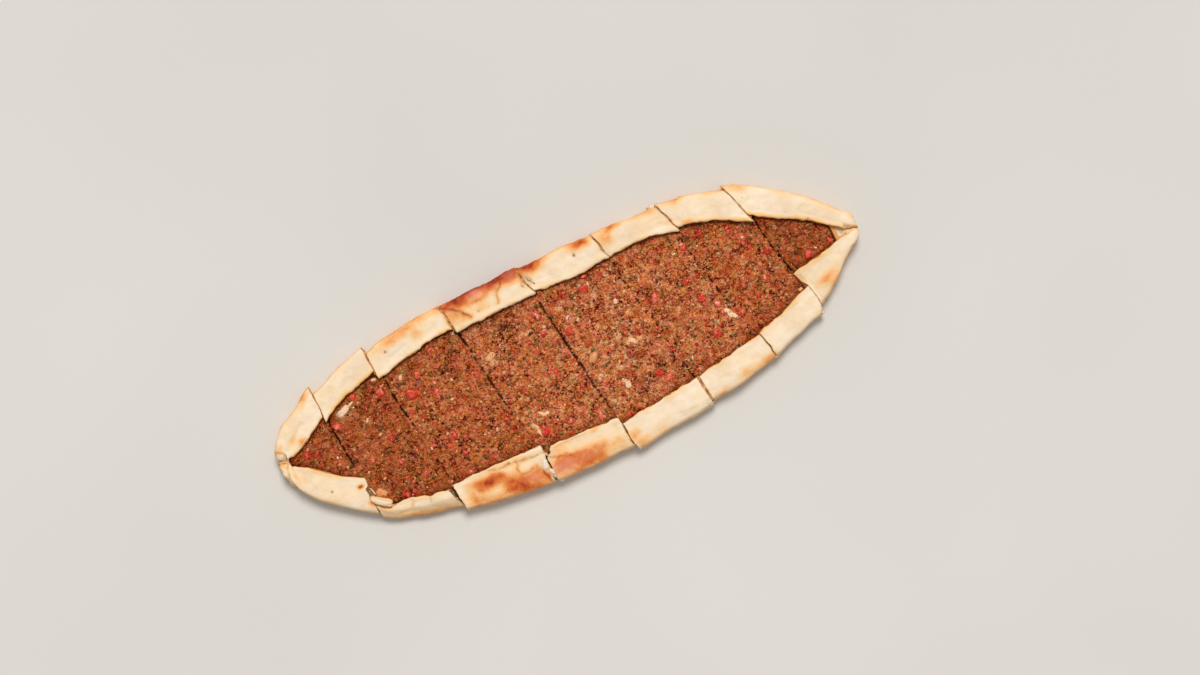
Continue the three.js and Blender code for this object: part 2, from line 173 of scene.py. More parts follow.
# The rim's section from its foot over its crest: share of its width from the inner edge, share of the
# crest's height. The rim of the second slice was pressed up into a strip along the meat with a sloping
# face outside it.
FLAT_RIM = [
    (0.94, 0), (0.985, 0.14), (1, 0.38), (0.99, 0.66), (0.95, 0.87), (0.84, 0.965), (0.55, 1),
    (0.25, 0.985),
]
RIDGED_RIM = [
    (0.93, 0), (0.985, 0.14), (1, 0.34), (0.98, 0.52), (0.88, 0.66), (0.7, 0.81), (0.45, 0.98), (0.2, 1),
]

# How far round that section its control points lie, and how finely the sheet of mesh is divided.
RIM_KNOTS = np.array([0, 2.2, 5.2, 8.8, 12.6, 16.9, 21.7, 25.5, 29.4, 31, 32.1, 33.4])
RIM_POINT_SPACING = 0.52
STATION_SPACING = 0.58
UNDER_POINTS = 14
PORES_PER_METRE = 1100.0
HIDDEN_STEPS = (5, 4, 10)

# The strips of the baking map for a slice's two cut faces, the height of bread that fills one, and how many
# half widths of the slice its length takes.
CAP_STRIPS, CAP_STRIP_HEIGHT = (0.9, 0.95), 0.04
CAP_HEIGHT = 0.018
CAP_SPAN = 2.2
LEAST_CAP_CORNERS = 9

# Pinched knots at the two tips and small nubs at four cuts: slice, middle, half sizes and turn in degrees.
KNOTS = [
    (0, (-220.4, -1.2, 7), (4.4, 3.4, 5.6), 10),
    (0, (-221.6, 8, 6), (3.6, 3, 5), 0),
    (0, (-222, -11.5, 5.6), (2.2, 8.5, 5.4), 4),
    (0, (-219.6, -22, 5), (2, 5.5, 4.6), 24),
    (5, (91.5, 66.6, 6.2), (2.7, 3.2, 3.4), 0),
    (5, (78.3, -77.6, 4.6), (3, 3.4, 3), 0),
    (4, (22.2, -88.6, 5), (2.2, 2.8, 3.4), 10),
    (6, (177.6, -47.2, 6.4), (2, 2.7, 3.6), 0),
    (7, (219.5, 9.5, 6.6), (6.4, 4.6, 6), -30),
    (7, (220.6, -3.2, 5.8), (4.6, 3.6, 5.2), 20),
]

# Toasted patches: middle x and y, half length, half width, turn in degrees and how dark. They fade out
# over a little more than that.
TOAST_SPREAD = 1.15
TOAST = [
    # The faint patch at (-206, 9) is painted shade in a soft crease near the left tip.
    (-202, 3.4, 3.4, 1.7, 42, 0.45), (-206, 9, 8, 1.8, 42, 0.12), (-40, 60, 6, 2.4, 6, 0.4),
    (-92, -75, 4, 2.4, 0, 0.4), (-44, -84, 2.6, 3, 0, 0.5), (-76, -83.4, 5, 3, 0, 0.5),
    (-97, -82.4, 4, 3, 0, 0.36), (-86, -77, 4, 2, 0, 0.2), (-5, -84.4, 5, 3, 0, 0.45),
    (-13, -86, 7, 2.4, 0, 0.34), (-32, -76.4, 5, 3, 0, 0.3), (-20, -78, 9, 3, 0, 0.26),
    (-22, -88, 10, 2, 0, 0.3), (-46, 60.4, 7, 3, 5, 0.36), (-20, 62.6, 5, 2.4, 5, 0.36),
    (-75, 57.4, 4, 2.4, 10, 0.34), (-12, 53, 3, 4, 0, 0.3), (-117, 46, 6, 2.4, 12, 0.2),
    # The patch at (-215, -18) is painted shade in a crease at the left tip.
    (-92, 54, 8, 2.4, 12, 0.16), (-4, -65.4, 5, 1.5, 5, 0.3), (-215, -18, 1.6, 6, 8, 0.2),
    (-219, 4, 2, 2, 0, 0.24), (-208, 4.6, 3, 1.8, 42, 0.22), (-210, -22, 2, 4, 0, 0.12),
    (-191.6, 31, 6, 2.6, 45, 0.36), (-225, 2.6, 1.2, 1.4, 60, 0.3), (-112, 49.5, 14, 3.4, 12, 0.36),
    (-98, 46, 6, 3.4, -50, 0.28), (-63, 57, 10, 3, 8, 1), (-62, 54, 5.4, 3.4, 10, 0.66),
    (-46, 60.4, 13, 2.9, 5, 1), (-30, 60.6, 9, 3.2, 4, 1), (-20, 60, 6, 4.4, 10, 0.8),
    (-57, 53.5, 1.6, 3.6, 20, 0.42), (-49, 50.8, 6, 1.3, 4, 0.5), (-41.6, 53, 2, 2.4, -40, 0.36),
    (-36, 57.4, 5, 2, 8, 0.4), (-68, 46.5, 3.6, 4, 0, 0.36), (-46, 45.6, 8, 3, 4, 0.24),
    (-59, 44, 5, 2, -40, 0.22), (-72.6, 50, 1.4, 8, 6, 0.4), (-38, 56, 9, 3.4, 6, 0.3),
    (-52, 55.6, 4, 2, 10, 0.34), (-6, 60.6, 9, 3, 6, 1), (-2, 57, 5, 3, 20, 0.4),
    (35, 62.5, 6, 3.4, 5, 0.84), (54, 59, 5, 4, 20, 0.34), (60, 64, 5, 2, 5, 0.5),
    (88, 65.5, 7, 2.4, 3, 0.28), (92, 59, 6, 4, 0, 0.12), (109, 66, 6, 3, 0, 0.34),
    (132, 64, 14, 2, -17, 0.18), (112, 47, 5, 2, -12, 0.4), (155, 58, 4, 3, -20, 0.2),
    (188, 44, 18, 2, -42, 0.12), (-177, -42, 1.5, 1.3, 0, 0.85), (-171, -56, 2, 1.6, -40, 0.5),
    (-205, -26, 8, 5, -40, 0.05), (-88, -72.6, 7, 3, -4, 0.62), (-80, -71.6, 9, 3, -14, 0.42),
    (-97, -71, 7, 2, -14, 0.34), (-73, -79.6, 6, 3.6, -36, 0.66), (-67, -83, 6, 4, -14, 0.84),
    (-60, -87, 8, 2.4, -3, 0.6), (-102, -80, 2.4, 6, 6, 0.4), (-94, -77, 4, 2, -30, 0.34),
    (-57, -81, 8, 4.4, 4, 0.44), (-50.5, -82, 3, 5, 20, 0.4), (-46.2, -84.6, 1.3, 3.4, 20, 0.8),
    (-90, -86, 10, 2.4, 2, 0.26), (-68, -64.6, 12, 1.6, -3, 0.2), (-34, -70, 4, 4, 0, 0.24),
    (-34, -83, 8, 5, -8, 0.42), (-14, -81, 11, 6, 4, 0.5), (-17, -85.5, 4, 1.6, 0, 0.4),
    (-24, -77, 8, 2, -10, 0.32), (-2, -78, 3, 3.4, 10, 0.14), (11, -80, 6, 5.4, 10, 0.26),
    (22, -81, 3.4, 4.4, 10, 0.3), (26, -87, 5, 2.4, 20, 0.26), (41, -81, 7, 4, 20, 0.12),
    (112, -67, 6, 3.4, 20, 0.26), (90, -75, 5, 2.4, 20, 0.26), (131, -64.6, 5, 3, 30, 0.34),
    (120, -68, 9, 2, 20, 0.14), (189.7, -26, 8, 3, 24, 0.4), (197, -29, 5, 2.4, 30, 0.22),
    (-140, -77.6, 24, 3.4, -4, 0.34), (-155, -70, 6, 3, -20, 0.1), (172, -18, 2.6, 5, 20, 0.3),
    (-186, -46, 14, 4, -20, 0.07), (-90, -73, 6, 2.4, -4, 0.4), (-88, -73, 5, 2.6, -4, 0.4),
    (-24, -82, 6, 3, 0, 0.2), (-36, -79, 5, 3, -10, 0.22),
]

# Pinkish brown patches in the toasted dough, listed as the toasted ones are.
BLUSH = [
    (-47.5, 55.4, 6.6, 3.2, 6, 0.9), (-20, 58.5, 5, 4, 10, 0.5), (-66, 50.6, 5, 1.6, -36, 0.4),
    (-34, -82.5, 8, 5, -6, 0.85), (-15, -80, 10, 5, 4, 0.4), (-57, -81, 7, 4, 0, 0.45),
    (-33, 55, 4, 2.4, 30, 0.4), (-38, -70, 3, 4, 0, 0.4), (134, -67, 2, 1.4, 30, 0.5),
]

# How golden each rim is all over.
WARM = {
    "far": [0.03, 0.03, 0.05, 0.1, 0.05, 0.06, 0.04, 0.05],
    "near": [0.04, 0.04, 0.07, 0.05, 0.03, 0.02, 0.02, 0.04],
}

# How golden the rims' outer edges and sides are, and how far that reaches over their tops.
GOLDEN_SIDE, GOLDEN_REACH = {"far": 0.2, "near": 0.18}, 2.6

# How golden each rim's inner edge is.
GOLDEN_EDGE = {
    "far": [1, 0.95, 0.85, 0.6, 0.55, 0.5, 1, 1.1], "near": [0.95, 0.45, 0.3, 0.5, 0.45, 0.5, 0.7, 0.85],
}

# Cracks, creases and folds: points along them, width, depth, which is below 0 where a fold stands up, and
# how dark. The darkening is painted shade in the groove, partly the crack's own brown.
CRACKS = [
    ([(-72, 54.5), (-67, 52), (-64, 49), (-60, 45.5), (-56.8, 42)], 0.5, 0.6, 0.85),
    ([(-72, 52.4), (-66, 49.6), (-61, 44.6)], 1.2, -0.35, 0),
    ([(-25.5, 60), (-28, 56), (-31, 53), (-33.5, 49), (-35, 44)], 0.5, 0.6, 0.8),
    ([(-28, 58), (-32, 55.4), (-35.6, 50), (-36.6, 45)], 1.2, -0.3, 0),
    ([(-65.5, -66.5), (-65, -70), (-66.2, -72), (-65, -74.8)], 0.7, 0.7, 0.7),
    ([(-64.5, -76.6), (-58, -76.2), (-54, -74.6), (-51.6, -74.4)], 0.5, 0.5, 0.65),
    ([(-66, -78), (-57, -77.6), (-52, -75.8)], 1.2, -0.5, 0),
    ([(-52, -75), (-49, -80), (-45, -88)], 0.8, 0.5, 0.3),
    ([(-42, -71.5), (-36, -74), (-30, -76), (-26, -77.5)], 0.5, 0.5, 0.6),
    ([(-49, -81.4), (-47.4, -84.4), (-46.8, -88)], 0.8, 0.6, 0.7),
    ([(-85, -65.8), (-68, -66.6), (-50, -67.6), (-44, -67.4)], 0.6, 0.6, 0.5),
    ([(-112, -66), (-95, -65.6), (-84, -65.9)], 0.7, 0.3, 0.12),
    ([(-4, 49), (10, 48.6), (28, 49.6), (45, 50.5)], 1.1, 0.15, 0),
    ([(-35, -66.2), (-24, -66.4), (-12, -66.2)], 0.5, 0.4, 0.4),
    ([(215.5, 2), (218, 1), (222, -0.5), (224, -0.6)], 0.6, 0.9, 0.7),
    (
        [(-227, 5), (-225, 3.2), (-222, 3.2), (-219.5, 1.2), (-217.3, -0.6), (-217, -3), (-217.6, -5)],
        0.38, 1, 0.4,
    ),
    ([(-226, -3.6), (-222, -4.4), (-219, -4.8), (-217.2, -5)], 0.38, 0.9, 0.35),
    (
        [(-218.2, -6), (-219.2, -10), (-220.2, -14.5), (-220.6, -18), (-219.3, -22), (-218, -26)],
        0.7, 1, 0.3,
    ),
    ([(-226, -16.8), (-222, -16.6), (-220.6, -16)], 0.5, 0.7, 0.15),
    ([(-228, 6.6), (-224, 6.8)], 0.6, 0.8, 0.1),
    ([(-222.6, -7), (-222.8, -13), (-222, -16)], 1.2, -0.5, 0),
    ([(-217.4, -7), (-214.6, -12), (-211, -17), (-208, -26)], 2.2, 0.35, 0),
    ([(-213.4, 1), (-206, 7.6), (-198, 14.6)], 2, 0.65, 0),
    ([(-172, -55.4), (-169, -58.8), (-165, -62), (-160.5, -63.8), (-157, -62.6)], 0.7, 1.1, 0.85),
    ([(-144, -63.4), (-143.6, -66), (-145, -68.4)], 0.5, 0.35, 0.3),
    ([(-131.4, -66.4), (-131, -69), (-132.2, -71.6)], 0.5, 0.35, 0.3),
    ([(163, 37), (176, 29), (190, 21), (204, 12)], 1.3, 0.12, 0),
    ([(186, 20), (189, 18.4), (194, 18)], 0.8, 0.4, 0.15),
    ([(-122, 36), (-116, 38), (-108, 41)], 0.9, 0.3, 0.06),
    ([(92, 54), (97, 52), (101, 53)], 0.9, 0.3, 0.1),
]

# Blisters: middle, radius and height. Pits: middle, radius, depth and how dark. The darkening is painted
# shade in the pit, partly its own brown.
BLISTERS = [
    (-49, 55.5, 5, 0.7), (-40, 57, 3.5, 0.5), (-60, 54, 4, 0.5), (-92, -74, 6, 0.5), (-72, -82, 6, 0.5),
    (-50, -70, 5, 0.5), (-32, -82, 7, 0.6), (-14, -79, 6, 0.45), (12, -76, 5, 0.4), (35, 58, 7, 0.4),
    (54, 58, 5, 0.4), (-112, 43, 7, 0.4), (-160, 33, 6, 0.35), (112, -62, 7, 0.4), (150, -44, 8, 0.4),
    (168, 47, 8, 0.35), (60, -70, 9, 0.35), (-193, -44, 7, 0.35), (189, 17.5, 3.4, 0.6), (-200, 22, 6, 0.35),
]
PITS = [
    (-123, 41, 0.9, 0.8, 0.9), (-50, 43.5, 0.7, 0.5, 0.6), (28, 55.4, 1.1, 0.9, 0.95),
    (-195, -38, 0.8, 0.8, 1), (-177, -42, 0.7, 0.3, 0.8), (-70, -65.5, 0.9, 0.4, 0.8),
    (193, 18, 0.7, 0.6, 0.5), (150, -40, 0.6, 0.4, 0.4), (-14, 48.4, 0.9, 0.5, 0.7),
    (155, 49.6, 0.5, 0.3, 0.5), (-13.2, 51, 0.5, 0.3, 0.5), (-14.6, 50, 0.4, 0.3, 0.5),
]

# Places where the dough tore and its pale crumb shows: middle, half length, half width and turn.
TORN = [
    (-46.2, -76, 1.6, 3.4, 0), (-41.4, -82.5, 1.4, 4, 18), (-39.6, -88, 2, 3, 20),
    (22, -89.4, 2.4, 2.4, 0), (-7.8, 52, 2, 4, 8), (49.6, 48.4, 1.6, 2.4, 14), (98.6, 60, 0.7, 5, 20),
    (179.4, -43, 1.4, 5, -4), (79, -80, 3, 2.4, 0), (93, 67.5, 3, 2, 0), (-43.4, -69.4, 1.2, 1.6, 0),
    (172.8, -16.5, 1.3, 4, 20),
]

# Corners where a rim's inner edge runs back before its cut: slice, side, which end, length and depth.
CUT_BACK = [
    (3, "near", 0, 6, 3.6), (1, "far", 1, 3, 0.8), (4, "far", 0, 4, 0.6), (6, "far", 1, 4, -1.4),
    (1, "far", 0, 4, -1.2), (5, "far", 1, 5, -1), (2, "near", 1, 3, 0.6),
]


def along(values, s):
    """A smooth value through evenly spaced ones, at shares s from 0 to 1. The ends run straight on."""
    first, last = values[:2], values[-2:]
    padded = np.array([2 * first[0] - first[1], *values, 2 * last[1] - last[0]], float)
    spans = len(values) - 1
    i = np.clip(np.floor(s * spans), 0, spans - 1).astype(int)
    t = s * spans - i
    before, a, b, after = padded[i], padded[i + 1], padded[i + 2], padded[i + 3]
    bend = (2 * before - 5 * a + 4 * b - after) * t + (3 * a - before - 3 * b + after) * t * t
    return a + 0.5 * t * (b - before + bend)


def slice_ends(number, y):
    """x of a slice's two ends at y across."""
    left, right = CUTS[number], CUTS[number + 1]
    left_gap = CUT_WIDTH / 2 if number > 0 else 0
    right_gap = CUT_WIDTH / 2 if number < LAST else 0
    return left[0] + left[1] * y + left_gap, right[0] + right[1] * y - right_gap


def place_x(number, s, y):
    start, end = slice_ends(number, y)
    return start + (end - start) * s


def cut_stray(cut, y, z):
    """How far a cut strays at random from its course, in shares. The slices on both its sides follow it."""
    place = np.stack([y, 0.4 * z, 40.0 * cut + 0 * y], -1)
    return unevenness(place, 6, 23) + 0.5 * unevenness(place, 2.4, 24)


def swell(number, side, s):
    """How far a rim's width and height swell out at shares s, in gentle waves."""
    phase = number * 2.3 + (0 if side == "far" else 1.1)
    return RIM_SWELL * (np.sin(s * 5.1 + phase) + 0.6 * np.sin(s * 11.3 + phase * 1.7))


def rim_edges(number, side, s):
    """y of a rim's inner and outer edge at shares s of its slice, and of the middle between the two rims."""
    middle = (along(RIMS[number]["far"][1], s) + along(RIMS[number]["near"][1], s)) / 2
    outer, inner, _ = RIMS[number][side]
    from_middle = np.maximum(LEAST_SEAM / 2, OUTWARD[side] * (along(inner, s) - middle))
    return middle + OUTWARD[side] * from_middle, along(outer, s) + swell(number, side, s + 0.4), middle


def meat_edges(number, s):
    """y of the meat's two visible edges at shares s, and how far it runs on under the rims."""
    near, far = rim_edges(number, "near", s)[0], rim_edges(number, "far", s)[0]
    middle = (near + far) / 2
    near = np.minimum(near, middle - LEAST_MEAT_WIDTH / 2)
    far = np.maximum(far, middle + LEAST_MEAT_WIDTH / 2)
    tuck = np.minimum(LIP_TUCK, (far - near) / 4) if number in (0, LAST) else LIP_TUCK + 0 * s
    return near, far, tuck


def stations(number, spacing, start=0.0, end=1.0):
    """Shares of a slice's length, evenly spaced but closer together in its last millimetre."""
    left, right = slice_ends(number, 0)
    length = (right - left) * (end - start)
    edge = np.array([0, 0.12, 0.35, 0.7, 1.15])
    between = np.linspace(edge[-1], length - edge[-1], max(2, round((length - 2 * edge[-1]) / spacing)))
    return start + np.concatenate([edge[:-1], between, length - edge[-2::-1]]) / (right - left)


def unevenness(points, size, seed):
    """Smooth random values from -1 to 1 at points, which change over about size."""
    shuffled = np.random.default_rng(seed)
    order, table = shuffled.permutation(1024), shuffled.uniform(-1, 1, 1024)
    scaled = points / size + 100
    cell = np.floor(scaled).astype(int)
    part = scaled - cell
    part = part * part * (3 - 2 * part)
    total = 0
    for corner in itertools.product((0, 1), repeat=3):
        x, y, z = np.moveaxis(cell + corner, -1, 0) & 1023
        found = table[order[(order[(order[x] + y) & 1023] + z) & 1023]]
        total = total + found * np.prod(np.where(corner, part, 1 - part), axis=-1)
    return total


def smooth_curve(control, knots, places):
    """Points at places along smooth curves, one for each row of control points. These are at knots."""
    slopes = np.diff(control, axis=1) / np.diff(knots)[:, None]
    before, after = np.diff(knots)[:-1, None], np.diff(knots)[1:, None]
    inner = (slopes[:, 1:] * before + slopes[:, :-1] * after) / (before + after)
    tangents = np.concatenate([slopes[:, :1], inner, slopes[:, -1:]], axis=1)
    i = np.clip(np.searchsorted(knots, places, side="right") - 1, 0, len(knots) - 2)
    span = (knots[i + 1] - knots[i])[:, None]
    t = ((places - knots[i]) / span[:, 0])[:, None]
    a, b = control[:, i], control[:, i + 1]
    rise_a, rise_b = tangents[:, i] * span, tangents[:, i + 1] * span
    from_a = a * (1 + 2 * t) * (1 - t) ** 2 + rise_a * t * (1 - t) ** 2
    return from_a + b * t * t * (3 - 2 * t) + rise_b * t * t * (t - 1)


def smoothstep(value, low, high):
    t = np.clip((value - low) / (high - low), 0, 1)
    return t * t * (3 - 2 * t)


def half_section(number, side, s):
    """Half of a slice's section at shares s, from the middle of its bottom round the rim to the middle of the
    floor under the meat: y, z and the distance in from the rim's inner edge, by station and point."""
    out = OUTWARD[side]
    inner, outer, middle = rim_edges(number, side, s)
    left, right = slice_ends(number, 0)
    to_tip = {0: s, LAST: 1 - s}.get(number, np.ones_like(s)) * (right - left)
    full = np.sqrt(1 - (1 - np.clip(to_tip / NOSE_LENGTH, 0, 1)) ** 2)
    lowered = 1 - NOSE_DROP * (1 - full)
    crest = (CREST_HEIGHT + RIMS[number][side][2] + swell(number, side, s)) * lowered
    width = out * (outer - inner) - NOSE_INSET * (1 - full)
    tuck = meat_edges(number, s)[2]
    open_from = MEAT_START if number == 0 else -1
    open_to = OPENING_END if number == LAST else 2
    reach = END_REACH / (right - left)
    opened = smoothstep(s, open_from - 2 * reach, open_from - reach)
    opened *= smoothstep(-s, -open_to - 2 * reach, -open_to - reach)
    gap = out * (inner - middle)

    profile = RIDGED_RIM if (number, side) == (1, "near") else FLAT_RIM
    shares = np.array(profile)
    control_y = width[:, None] * shares[:, 0]
    control_z = crest[:, None] * shares[:, 1]
    lip = crest / CREST_HEIGHT
    mix = opened[:, None]
    lip_y = np.array([0.55, 0, 0.1, 0.9]) * mix
    lip_y = lip_y + np.stack([0.08 * width, 0.02 * width, -0.3 * gap, -0.6 * gap], 1) * (1 - mix)
    lip_z = np.stack([12.7 * lip, 11.5 * lip, 9.9 + 0 * s, LIP_UNDERSIDE + 0.1 + 0 * s], 1) * mix
    lip_z = lip_z + np.outer(lowered, [11.35, 10.5, 10, 9.6]) * (1 - mix)
    control_y = np.concatenate([control_y, lip_y], 1)
    control_z = np.concatenate([control_z, lip_z], 1)
    places = np.linspace(0, RIM_KNOTS[-1], round(RIM_KNOTS[-1] / RIM_POINT_SPACING))
    rim = smooth_curve(np.stack([control_y, control_z], -1), RIM_KNOTS, places)

    under = np.linspace(0, 1, UNDER_POINTS, endpoint=False)
    under_y = -gap[:, None] + (gap + rim[:, 0, 0])[:, None] * under
    wall = (tuck + LAYER_GAP)[:, None]
    lip_end_y, lip_end_z = rim[:, -1, 0][:, None], rim[:, -1, 1][:, None]
    over, down, across = (np.linspace(0, 1, n + 1)[1:] for n in HIDDEN_STEPS)
    beyond_meat = smoothstep(s, MEAT_END - 0.012, MEAT_END + 0.016) if number == LAST else 0 * s
    level = (BASE_THICKNESS + (SHELF_HEIGHT - BASE_THICKNESS) * beyond_meat)[:, None]
    open_y = np.concatenate([
        lip_end_y + (wall - lip_end_y) * over,
        wall + 0 * down,
        wall + (-gap[:, None] - wall) * across,
    ], 1)
    open_z = np.concatenate([
        lip_end_z + (LIP_UNDERSIDE - lip_end_z) * over,
        LIP_UNDERSIDE + (level - LIP_UNDERSIDE) * down,
        level + 0 * across,
    ], 1)
    shut = np.linspace(0, 1, sum(HIDDEN_STEPS) + 1)[1:]
    shut_y = lip_end_y + (-gap[:, None] - lip_end_y) * shut
    shut_z = lip_end_z + (SEAM_HEIGHT * lowered[:, None] - lip_end_z) * shut
    rest_y, rest_z = open_y * mix + shut_y * (1 - mix), open_z * mix + shut_z * (1 - mix)
    inward = np.concatenate([under_y, rim[:, :, 0], rest_y], 1)
    z = np.concatenate([0 * under_y, rim[:, :, 1], rest_z], 1)
    return inner[:, None] + out * inward, z, inward


def distance_to_line(x, y, points):
    """Distance from places to a line of straight pieces."""
    found = np.full(x.shape, np.inf)
    for (ax, ay), (bx, by) in itertools.pairwise(points):
        length = (bx - ax) ** 2 + (by - ay) ** 2
        t = np.clip(((x - ax) * (bx - ax) + (y - ay) * (by - ay)) / length, 0, 1)
        found = np.minimum(found, np.hypot(x - ax - t * (bx - ax), y - ay - t * (by - ay)))
    return found


def cos_sin(degrees):
    return math.cos(math.radians(degrees)), math.sin(math.radians(degrees))


def spot(x, y, middle_x, middle_y, half_length, half_width, turn):
    """1 at the middle of an oval spot, falling to nothing outside it."""
    c, s = cos_sin(turn)
    dx, dy = x - middle_x, y - middle_y
    away = ((dx * c + dy * s) / half_length) ** 2 + ((dy * c - dx * s) / half_width) ** 2
    return np.exp(-(away**0.9))


def push_out(points, middle, half, turn):
    """Points inside a knot of dough are moved out to its surface."""
    c, s = cos_sin(turn)
    spin = np.array([[c, -s, 0], [s, c, 0], [0, 0, 1]])
    inside = (points - middle) @ spin / half
    depth = np.maximum(np.linalg.norm(inside, axis=-1), 0.15)
    scale = np.where(depth < 1, 1 / depth, 1)
    return middle + (points - middle) * scale[..., None]


def outward_normals(points):
    """Unit normals of a sheet of mesh, its points given by station and place round the section."""
    around = np.roll(points, -1, 1) - np.roll(points, 1, 1)
    lengthwise = np.gradient(points, axis=0)
    normals = np.cross(lengthwise, around)
    return normals / np.maximum(np.linalg.norm(normals, axis=-1, keepdims=True), 1e-9)


def paint(mesh, values):
    """Gives a mesh the numbers, one for each point, that its material reads."""
    for key, value in values.items():
        mesh.attributes.new(key, "FLOAT", "POINT").data.foreach_set("value", value.astype(np.float32).ravel())


def laid_piece(name, points, values, uv):
    """A closed piece from a sheet of mesh. Points, values and uv are by station and place round it."""
    bpy.ops.object.select_all(action="DESELECT")
    bpy.ops.mesh.primitive_grid_add(
        x_subdivisions=points.shape[0] - 1, y_subdivisions=points.shape[1] - 1, size=1,
    )
    piece = bpy.context.object
    piece.name = piece.data.name = name
    mesh = piece.data
    mesh.vertices.foreach_set("co", ((points + TO_ROW_FRAME) * MM).transpose(1, 0, 2).ravel())
    paint(mesh, {key: value.T for key, value in values.items()})
    corners = np.empty(len(mesh.loops), np.int32)
    mesh.loops.foreach_get("vertex_index", corners)
    mesh.uv_layers[0].name = "OFBake"
    by_corner = uv.transpose(1, 0, 2).reshape(-1, 2)[corners]
    mesh.uv_layers[0].uv.foreach_set("vector", by_corner.astype(np.float32).ravel())
    bpy.ops.object.mode_set(mode="EDIT")
    bpy.ops.mesh.select_all(action="SELECT")
    bpy.ops.mesh.remove_doubles(threshold=1e-6)
    bpy.ops.mesh.select_all(action="DESELECT")
    bpy.ops.mesh.select_non_manifold()
    bpy.ops.mesh.fill_holes(sides=0)
    bpy.ops.object.mode_set(mode="OBJECT")
    return piece


def lay_cap_maps(piece):
    """The two cut faces get strips of the baking map of their own."""
    mesh = piece.data
    caps = [face for face in mesh.polygons if len(face.vertices) >= LEAST_CAP_CORNERS]
    layer = mesh.uv_layers["OFBake"]
    reach = max(abs(vertex.co.y) for vertex in mesh.vertices) * CAP_SPAN
    for strip, face in zip(CAP_STRIPS, sorted(caps, key=lambda face: face.center.x)):
        for corner in face.loop_indices:
            place = mesh.vertices[mesh.loops[corner].vertex_index].co
            layer.uv[corner].vector = (0.5 + place.y / reach, strip + place.z / CAP_HEIGHT * CAP_STRIP_HEIGHT)


class Value:
    """A number inside a material. Arithmetic on it adds the nodes that work it out."""

    def __init__(self, finish, socket):
        self.finish, self.socket = finish, socket

    def combined(self, operation, first, second):
        return self.finish.node("ShaderNodeMath", {"operation": operation}, {0: first, 1: second})

    def __add__(self, other):
        return self.combined("ADD", self, other)

    def __sub__(self, other):
        return self.combined("SUBTRACT", self, other)

    def __rsub__(self, other):
        return self.combined("SUBTRACT", other, self)

    def __mul__(self, other):
        return self.combined("MULTIPLY", self, other)


class Finish:
    """A material in the making, with its surface shader ready."""

    def __init__(self, name, roughness=0.5, specular=0.5):
        self.material = bpy.data.materials.new(name)
        self.material.use_nodes = True
        self.tree = self.material.node_tree
        self.shader = next(node for node in self.tree.nodes if node.type == "BSDF_PRINCIPLED")
        self.shader.inputs["Roughness"].default_value = roughness
        self.shader.inputs["Specular IOR Level"].default_value = specular

    def node(self, kind, settings=None, sockets=None, output=0):
        """Adds a node: its settings first, then the values or links of its sockets."""
        made = self.tree.nodes.new(kind)
        for key, value in (settings or {}).items():
            if key == "stops":
                while len(made.color_ramp.elements) < len(value):
                    made.color_ramp.elements.new(0.5)
                for element, (position, colour) in zip(made.color_ramp.elements, value):
                    element.position, element.color = position, colour
            else:
                setattr(made, key, value)
        for key, value in (sockets or {}).items():
            if isinstance(value, Value):
                self.tree.links.new(value.socket, made.inputs[key])
            else:
                made.inputs[key].default_value = value
        return Value(self, made.outputs[output])

    def feed(self, socket, value):
        self.tree.links.new(value.socket, self.shader.inputs[socket])

    def painted(self, name):
        """A number that the mesh carries."""
        return self.node("ShaderNodeAttribute", {"attribute_name": name}, output="Fac")

    def grain(self, size, detail=2, roughness=0.55):
        """Noise from 0 to 1 whose blotches are about size metres across."""
        place = self.node("ShaderNodeTexCoord", output="Object")
        sockets = {"Vector": place, "Scale": 1 / size, "Detail": detail, "Roughness": roughness}
        return self.node("ShaderNodeTexNoise", sockets=sockets)

    def channels(self, colour_value):
        """The three numbers that make up a colour."""
        kinds = ("Red", "Green", "Blue")
        return [
            self.node("ShaderNodeSeparateColor", sockets={0: colour_value}, output=kind) for kind in kinds
        ]

    def band(self, value, low, high, start=0.0, end=1.0):
        """Maps low..high to start..end, smooth at both ends and held outside."""
        settings = {"interpolation_type": "SMOOTHSTEP"}
        return self.node("ShaderNodeMapRange", settings, {0: value, 1: low, 2: high, 3: start, 4: end})

    def ramp(self, value, *stops):
        settings = {"stops": [(position, colour(*rgb)) for position, rgb in stops]}
        return self.node("ShaderNodeValToRGB", settings, {0: value}, "Color")

    def blend(self, share, first, second):
        """first turned into second by share."""
        colours = [colour(*c) if isinstance(c, tuple) else c for c in (first, second)]
        sockets = {0: share, 6: colours[0], 7: colours[1]}
        return self.node("ShaderNodeMix", {"data_type": "RGBA"}, sockets, 2)

    def layered(self, base, *layers):
        """A colour with others laid over it, each where a value is in its band."""
        for value, low, high, start, end, over in layers:
            base = self.blend(self.band(value, low, high, start, end), base, over)
        return base

    def bump(self, height, distance):
        """Relief of a height from 0 to 1, distance metres high."""
        return self.node("ShaderNodeBump", sockets={"Height": height, "Distance": distance, "Strength": 1.0})


def colour(red, green, blue):
    """A colour given in the usual 0 to 255, as Blender's linear one."""
    channels = [value / 255 for value in (red, green, blue)]
    linear = [c / 12.92 if c <= 0.04045 else ((c + 0.055) / 1.055) ** 2.4 for c in channels]
    return (*linear, 1.0)


